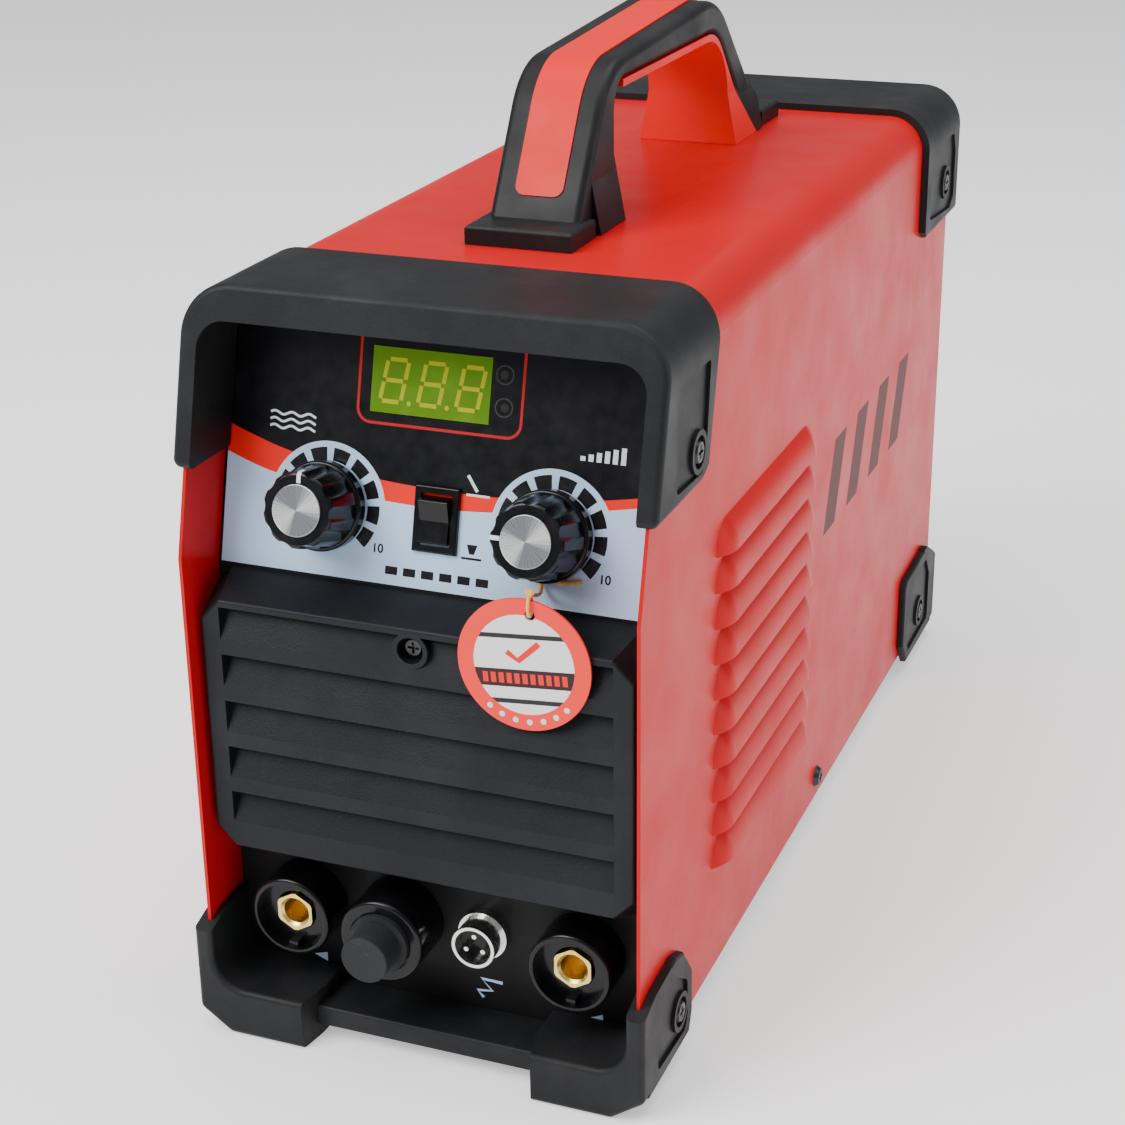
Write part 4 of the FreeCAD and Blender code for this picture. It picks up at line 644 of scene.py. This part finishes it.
def digit(u, v):
    parts = []
    for a, b in SEGMENTS.values():
        ends = []
        for x, y in (a, b):
            rise = y * DIGIT_HEIGHT
            ends.append((u + x * DIGIT_WIDTH + rise * DIGIT_SLANT, v + rise))
        parts.append(ribbon_data(ends, DIGIT_STROKE, on_panel, DIGIT_LOW, DIGIT_HIGH))
    return joined(parts)


def corner_arc(u, v, side):
    """Rounded lower corner of the display's frame line, about its centre, from its upright side inwards."""
    turns = [math.radians(15 * k) for k in range(1, 6)]
    return [(u + side * FRAME_CORNER_R * math.cos(t), v - FRAME_CORNER_R * math.sin(t)) for t in turns]


def make_display():
    digits = [digit(u, DIGIT_V) for u in DIGIT_U]
    add_piece("display_digits", *joined(digits), PRINTS["print_digit"], ROOT, "green_filter")
    points = [prism_data(disc_outline(u, POINT_V, POINT_R), on_panel, DIGIT_LOW, DIGIT_HIGH) for u in POINT_U]
    add_piece("display_points", *joined(points), PRINTS["print_digit"], ROOT, "green_filter")
    inner_left, inner_right = FRAME_LEFT + FRAME_CORNER_R, FRAME_RIGHT - FRAME_CORNER_R
    bend = FRAME_FOOT + FRAME_CORNER_R
    line = [(FRAME_LEFT, FRAME_TOP), (FRAME_LEFT, bend)] + corner_arc(inner_left, bend, -1)
    line += [(inner_left, FRAME_FOOT), (inner_right, FRAME_FOOT)] + corner_arc(inner_right, bend, 1)[::-1]
    line += [(FRAME_RIGHT, bend), (FRAME_RIGHT, FRAME_TOP)]
    add_print("display_frame_line", [print_line(line, FRAME_LINE, LAYER_1)], "print_frame")
    rings = [ring_data(lamp, *LAMP_RING, 0, 360, on_panel, LAYER_1, LAYER_1 + PRINT, 32) for lamp in LAMPS]
    add_print("lamp_rings", rings, "print_dim")


SCALE_END = (18.5, -11.7)  # place of the number at the end of a dial, from the knob's axis
NUMBER_SIZE = 4.0
NUMBER_WEIGHT = 0.022


def make_number(name, text, u, v):
    """A printed number, centred on a place on the panel."""
    curve = bpy.data.curves.new(name + "_outline", "FONT")
    curve.body = text
    curve.size = NUMBER_SIZE
    curve.align_x = "CENTER"
    curve.align_y = "CENTER"
    curve.extrude = PRINT / 2
    curve.offset = NUMBER_SIZE * NUMBER_WEIGHT
    holder = bpy.data.objects.new(name + "_outline", curve)
    bpy.context.scene.collection.objects.link(holder)
    bpy.context.view_layer.update()
    mesh = bpy.data.meshes.new_from_object(holder.evaluated_get(bpy.context.evaluated_depsgraph_get()))
    vertices = [on_panel(u + p.co.x, v + p.co.y, LAYER_2 + p.co.z + PRINT / 2) for p in mesh.vertices]
    faces = [tuple(p.vertices) for p in mesh.polygons]
    bpy.data.objects.remove(holder)
    bpy.data.curves.remove(curve)
    bpy.data.meshes.remove(mesh)
    add_piece(name, vertices, faces, PRINTS["print_black"], ROOT, "overlay_print")


def make_scale_numbers():
    for name, u in (("gas", -KNOB_U), ("current", KNOB_U)):
        make_number(name + "_scale_end", "10", u + SCALE_END[0], KNOB_V + SCALE_END[1])


WAVES = 3
WAVE_START = (-60, 50.6)
WAVE_POINTS = 17
WAVE_DROP = 2.2
WAVE_HEIGHT = 0.55
WAVE_TURN = 1.05  # radians from one point of a wave to the next, 1 mm on
WAVE_LINE = 0.75


def make_gas_flow_mark():
    """Three wavy lines over the gas knob."""
    left, top = WAVE_START
    wave = [(left + k, top + WAVE_HEIGHT * math.sin(k * WAVE_TURN)) for k in range(WAVE_POINTS)]
    rows = [[(u, v - WAVE_DROP * row) for u, v in wave] for row in range(WAVES)]
    waves = [print_line(row, WAVE_LINE, LAYER_1) for row in rows]
    add_print("gas_flow_mark", waves, "print_white")


# Rows of bars: where the first starts, their foot, count, pitch, width, first height and growth.
CURRENT_BARS = (45.5, 47.0, 6, 2.6, 1.6, 1.4, 0.75)
RULE_BARS = (-16.5, 4.0, 6, 6.2, 4.2, 2.6, 0.0)


def bar_row(layer, start, foot, count, pitch, width, height, growth):
    """Bars side by side, each higher than the last by the growth."""
    bars = []
    for k in range(count):
        left = start + pitch * k
        bars.append(print_outline(box_outline(left, left + width, foot, foot + height + growth * k), layer))
    return bars


def make_current_mark():
    """Rising bars over the current knob."""
    add_print("current_mark", bar_row(LAYER_1, *CURRENT_BARS), "print_white")


def make_panel_rule():
    """A plain rule of bars under the process switch."""
    add_print("panel_rule", bar_row(LAYER_2, *RULE_BARS), "print_black")


STICK = [(9.4, 38.2), (12.8, 33.4)]
STICK_PLATE = [(9.2, 32.2), (17.0, 32.2)]
NOZZLE = [(10.6, 16.8), (14.2, 16.8), (13.2, 13.8), (11.6, 13.8)]
NOZZLE_PLATE = [(9.0, 12.4), (15.8, 12.4)]
STICK_LINE = 1.0
PLATE_LINE = 0.7


def make_process_marks():
    """Beside the process switch: a stick electrode over a plate, and a torch nozzle over a plate."""
    stick = [print_line(STICK, STICK_LINE, LAYER_2), print_line(STICK_PLATE, PLATE_LINE, LAYER_2)]
    nozzle = [print_outline(NOZZLE, LAYER_2), print_line(NOZZLE_PLATE, PLATE_LINE, LAYER_2)]
    add_print("stick_mark", stick, "print_white")
    add_print("torch_mark", nozzle, "print_black")


# ---- printing on the connector plate and the cover -----------------------------------------------------
PLATE_Y = PANEL_ORIGIN.y / MM
PLATE_GAP = 0.02
# Places across and up in the machine's own frame.
POLARITY_WEDGES = ([(-49.6, 19.6), (-44.6, 21.2), (-44.6, 17.6)], [(51.6, 17.2), (56.2, 19.4), (56.2, 15.6)])
SPARK = [(20.6, 23.4), (13.0, 23.6), (16.8, 19.6), (11.4, 18.8), (13.6, 16.4)]
SPARK_LINE = 1.2


def make_connector_marks():
    """Marks on the upright plate round the sockets: two polarity wedges and a spark."""
    def on_plate(x, z, w):
        return Vector((x, PLATE_Y - w, z)) * MM

    low, high = PLATE_GAP, PLATE_GAP + PRINT
    wedges = [prism_data(wedge, on_plate, low, high) for wedge in POLARITY_WEDGES]
    add_print("polarity_marks", wedges, "print_pale")
    add_print("spark_mark", [ribbon_data(SPARK, SPARK_LINE, on_plate, low, high)], "print_pale")


COVER_HALF = 77.0  # half the width over the cover's flat sides
SIDE_BARS = 4
SIDE_BARS_START = 6.0
SIDE_BARS_FOOT = 122.0
SIDE_BAR_PITCH = 34.0
SIDE_BAR_WIDTH = 16.0
SIDE_BAR_HEIGHT = 34.0
SIDE_BAR_LEAN = 14.0


def make_side_marks():
    """Plain slanted bars on both flat sides of the cover."""
    def on_side(sign):
        return lambda y, z, w: Vector((sign * (COVER_HALF + w), y, z)) * MM

    foot, top = SIDE_BARS_FOOT, SIDE_BARS_FOOT + SIDE_BAR_HEIGHT
    for name, sign in (("right", 1), ("left", -1)):
        bars = []
        for k in range(SIDE_BARS):
            near = SIDE_BARS_START + SIDE_BAR_PITCH * k
            far = near + SIDE_BAR_WIDTH
            outline = [(near, foot), (far, foot), (far + SIDE_BAR_LEAN, top), (near + SIDE_BAR_LEAN, top)]
            bars.append(prism_data(outline, on_side(sign), PRINT_GAP, PRINT_GAP + PRINT))
        add_piece(name + "_side_mark", *joined(bars), PRINTS["print_smoke"], ROOT, "red_paint")


# ---- knob pointers -----------------------------------------------------------------------------------
POINTER_WIDTH = 1.35
POINTER_LIFT = 0.06
# Along the knob's surface: distance from its axis, height over the panel, and the angle from level of the
# direction that the surface faces.
POINTER_PATH = [(8.55, 21.2, 90), (10.8, 21.2, 90), (11.28, 21.1, 68), (11.7, 20.82, 45), (11.98, 20.4, 23),
                (12.09, 19.9, 9), (12.38, 17.9, 9)]


def make_pointer(name, u, turn, body):
    """White line from the metal cap over the knob's rim. turn is in degrees from across the panel."""
    out_u, out_v = math.cos(math.radians(turn)), math.sin(math.radians(turn))
    vertices = []
    for radius, height, slope in POINTER_PATH:
        lean, rise = math.cos(math.radians(slope)), math.sin(math.radians(slope))
        for side in (-POINTER_WIDTH / 2, POINTER_WIDTH / 2):
            for lift in (-POINTER_LIFT, POINTER_LIFT):
                r, w = radius + lift * lean, height + lift * rise
                vertices.append(on_panel(u + r * out_u - side * out_v, KNOB_V + r * out_v + side * out_u, w))
    faces = station_faces(len(POINTER_PATH), False)
    add_piece(name, vertices, faces, PRINTS["print_white"], body, "overlay_print")


# ---- inspection tag ------------------------------------------------------------------------------------
TAG_BODY = "tag_body"
TAG_LEAN = math.radians(5)
# Heights and widths on the tag, in millimetres from its centre.
TAG_RULES = (8.6, -12.9)
TAG_RULE = 1.5
TAG_BAND = (-7.4, -1.6)
TAG_DASHES = 11
TAG_DASH_PITCH = 2.6
TAG_DASH_HALF = 0.85
TAG_DASH = (-6.2, -2.8)
TAG_TICK = [(-5.2, 4.2), (-1.6, 1.4), (5.6, 7.2)]
TAG_TICK_LINE = 1.9
TAG_DOTS = 7
TAG_DOT_PITCH = math.radians(14)
TAG_DOTS_R = 18.9
TAG_DOT_R = 0.95


def on_tag(a, b, w):
    """Point on the tag's face: a across, b up and w out from its centre. The print leans a little."""
    across = a * math.cos(TAG_LEAN) - b * math.sin(TAG_LEAN)
    up = a * math.sin(TAG_LEAN) + b * math.cos(TAG_LEAN)
    return Vector((TAG_CENTRE.x + across * MM, TAG_LOW.y - w * MM, TAG_CENTRE.z + up * MM))


def disc_slice(radius, low, high, steps=6):
    """Outline of the part of a disc between two heights."""
    first, last = math.asin(low / radius), math.asin(high / radius)
    turns = [first + (last - first) * k / steps for k in range(steps + 1)]
    right = [(radius * math.cos(t), radius * math.sin(t)) for t in turns]
    return right + [(-a, b) for a, b in reversed(right)]


def make_tag_print():
    def tag_piece(name, parts, ink):
        add_piece(name, *joined(parts), PRINTS[ink], TAG_BODY, "tag_card")

    low, high, over = PRINT_GAP, PRINT_GAP + PRINT, PRINT_GAP + 2 * PRINT
    rules = [prism_data(disc_slice(TAG_WHITE_R, b, b + TAG_RULE), on_tag, low, high) for b in TAG_RULES]
    tag_piece("tag_lines", rules, "print_black")
    tag_piece("tag_band", [prism_data(disc_slice(TAG_WHITE_R, *TAG_BAND), on_tag, low, high)], "tag_band")
    dashes = []
    for k in range(TAG_DASHES):
        middle = TAG_DASH_PITCH * (k - TAG_DASHES // 2)
        dash = box_outline(middle - TAG_DASH_HALF, middle + TAG_DASH_HALF, *TAG_DASH)
        dashes.append(prism_data(dash, on_tag, high, over))
    tag_piece("tag_band_dashes", dashes, "tag_red")
    tag_piece("tag_tick", [ribbon_data(TAG_TICK, TAG_TICK_LINE, on_tag, low, high)], "tag_red")
    dots = []
    for k in range(TAG_DOTS):
        turn = TAG_DOT_PITCH * (k - TAG_DOTS // 2)
        dot = disc_outline(TAG_DOTS_R * math.sin(turn), -TAG_DOTS_R * math.cos(turn), TAG_DOT_R)
        dots.append(prism_data(dot, on_tag, low, high))
    tag_piece("tag_dots", dots, "print_white")


# ---- tag string ----------------------------------------------------------------------------------------
STRING_D = 1.2
# Places across, up and out from the point where the current knob's axis meets the panel, in millimetres.
STRING_ROUTE = [(1.3, -13.4, 1.45), (5.8, -10.4, 1.45), (8.9, -5.4, 1.45), (9.6, 0.4, 1.45), (8.0, 5.9, 1.45),
                (3.7, 9.6, 1.45), (-1.9, 10.0, 1.45), (-6.7, 7.4, 1.45), (-9.3, 2.4, 1.45),
                (-9.0, -3.2, 1.45), (-6.5, -8.2, 1.45), (-3.1, -12.0, 1.45), (-1.2, -15.1, 1.4),
                (-0.7, -17.8, 3.7), (0.0, -17.8, 7.6), (0.8, -17.0, 12.6), (1.8, -16.0, 17.4),
                (2.7, -14.9, 21.7)]
TAIL_ROUTE = [(0.0, -13.7, 1.45), (5.6, -14.6, 1.35), (11.4, -13.2, 1.2)]
START_KNOT = (0.0, -13.7, 1.45)
KNOT_STEPS = 24
# Lobe size and strand of the knot at each end, in millimetres.
START_KNOT_SIZE = (0.33, 0.8)
END_KNOT_SIZE = (0.38, 0.95)
# The loop through the tag's hole: depth, from front to back, and height, from the hole's middle.
EYE = [(0, -0.5), (-1.5, 0.4), (-1.9, 2.8), (-1.3, 5.6), (0, 7.4), (1.3, 5.6), (1.9, 2.8), (1.5, 0.4)]
EYE_STRAND = 1.0


def from_current_knob(place):
    return on_panel(KNOB_U + place[0], KNOB_V + place[1], place[2])


def string_curve(name, points, diameter, closed=False):
    data = bpy.data.curves.new(name, "CURVE")
    data.dimensions = "3D"
    data.bevel_depth = diameter / 2 * MM
    data.bevel_resolution = 4
    data.use_fill_caps = not closed
    data.resolution_u = 8
    spline = data.splines.new("NURBS")
    spline.points.add(len(points) - 1)
    for point, place in zip(spline.points, points):
        point.co = (*place, 1)
    spline.use_cyclic_u = closed
    spline.order_u = 3
    spline.use_endpoint_u = not closed
    data.materials.append(MATERIALS["tag_cord"])
    piece = bpy.data.objects.new(name, data)
    bpy.context.scene.collection.objects.link(piece)
    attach(piece, ROOT)
    return piece


def make_knot(name, centre, size, strand):
    """Small three-lobed knot lying flat on the panel's slope."""
    points = []
    for k in range(KNOT_STEPS):
        t = 2 * math.pi * k / KNOT_STEPS
        a, b, w = math.sin(t) + 2 * math.sin(2 * t), math.cos(t) - 2 * math.cos(2 * t), -math.sin(3 * t)
        points.append(centre + (PANEL_ACROSS * a + PANEL_UP * b + PANEL_OUT * w) * size * MM)
    return string_curve(name, points, strand, True)


def make_eye(hole):
    """Loop of string through the tag's hole and over its rim, up to the knot."""
    return string_curve("string_eye", [hole + Vector((0, y, z)) * MM for y, z in EYE], EYE_STRAND, True)


def make_string():
    cord = string_curve("tag_string_run", [from_current_knob(place) for place in STRING_ROUTE], STRING_D)
    tail = string_curve("string_tail", [from_current_knob(place) for place in TAIL_ROUTE], STRING_D)
    first_knot = make_knot("string_first_knot", from_current_knob(START_KNOT), *START_KNOT_SIZE)
    last_knot = make_knot("string_last_knot", from_current_knob(STRING_ROUTE[-1]), *END_KNOT_SIZE)
    eye = make_eye(Vector(joints["tag_swing"]["pos_m"]))
    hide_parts("tag_string")


make_string()
make_pointer("gas_pointer", -KNOB_U, 90, "gas_knob_body")
make_pointer("current_pointer", KNOB_U, 180, "current_knob_body")
make_tag_print()
make_connector_marks()
make_side_marks()
make_band()
make_dial("gas", -KNOB_U)
make_dial("current", KNOB_U)
make_display()
make_scale_numbers()
make_gas_flow_mark()
make_current_mark()
make_process_marks()
make_panel_rule()
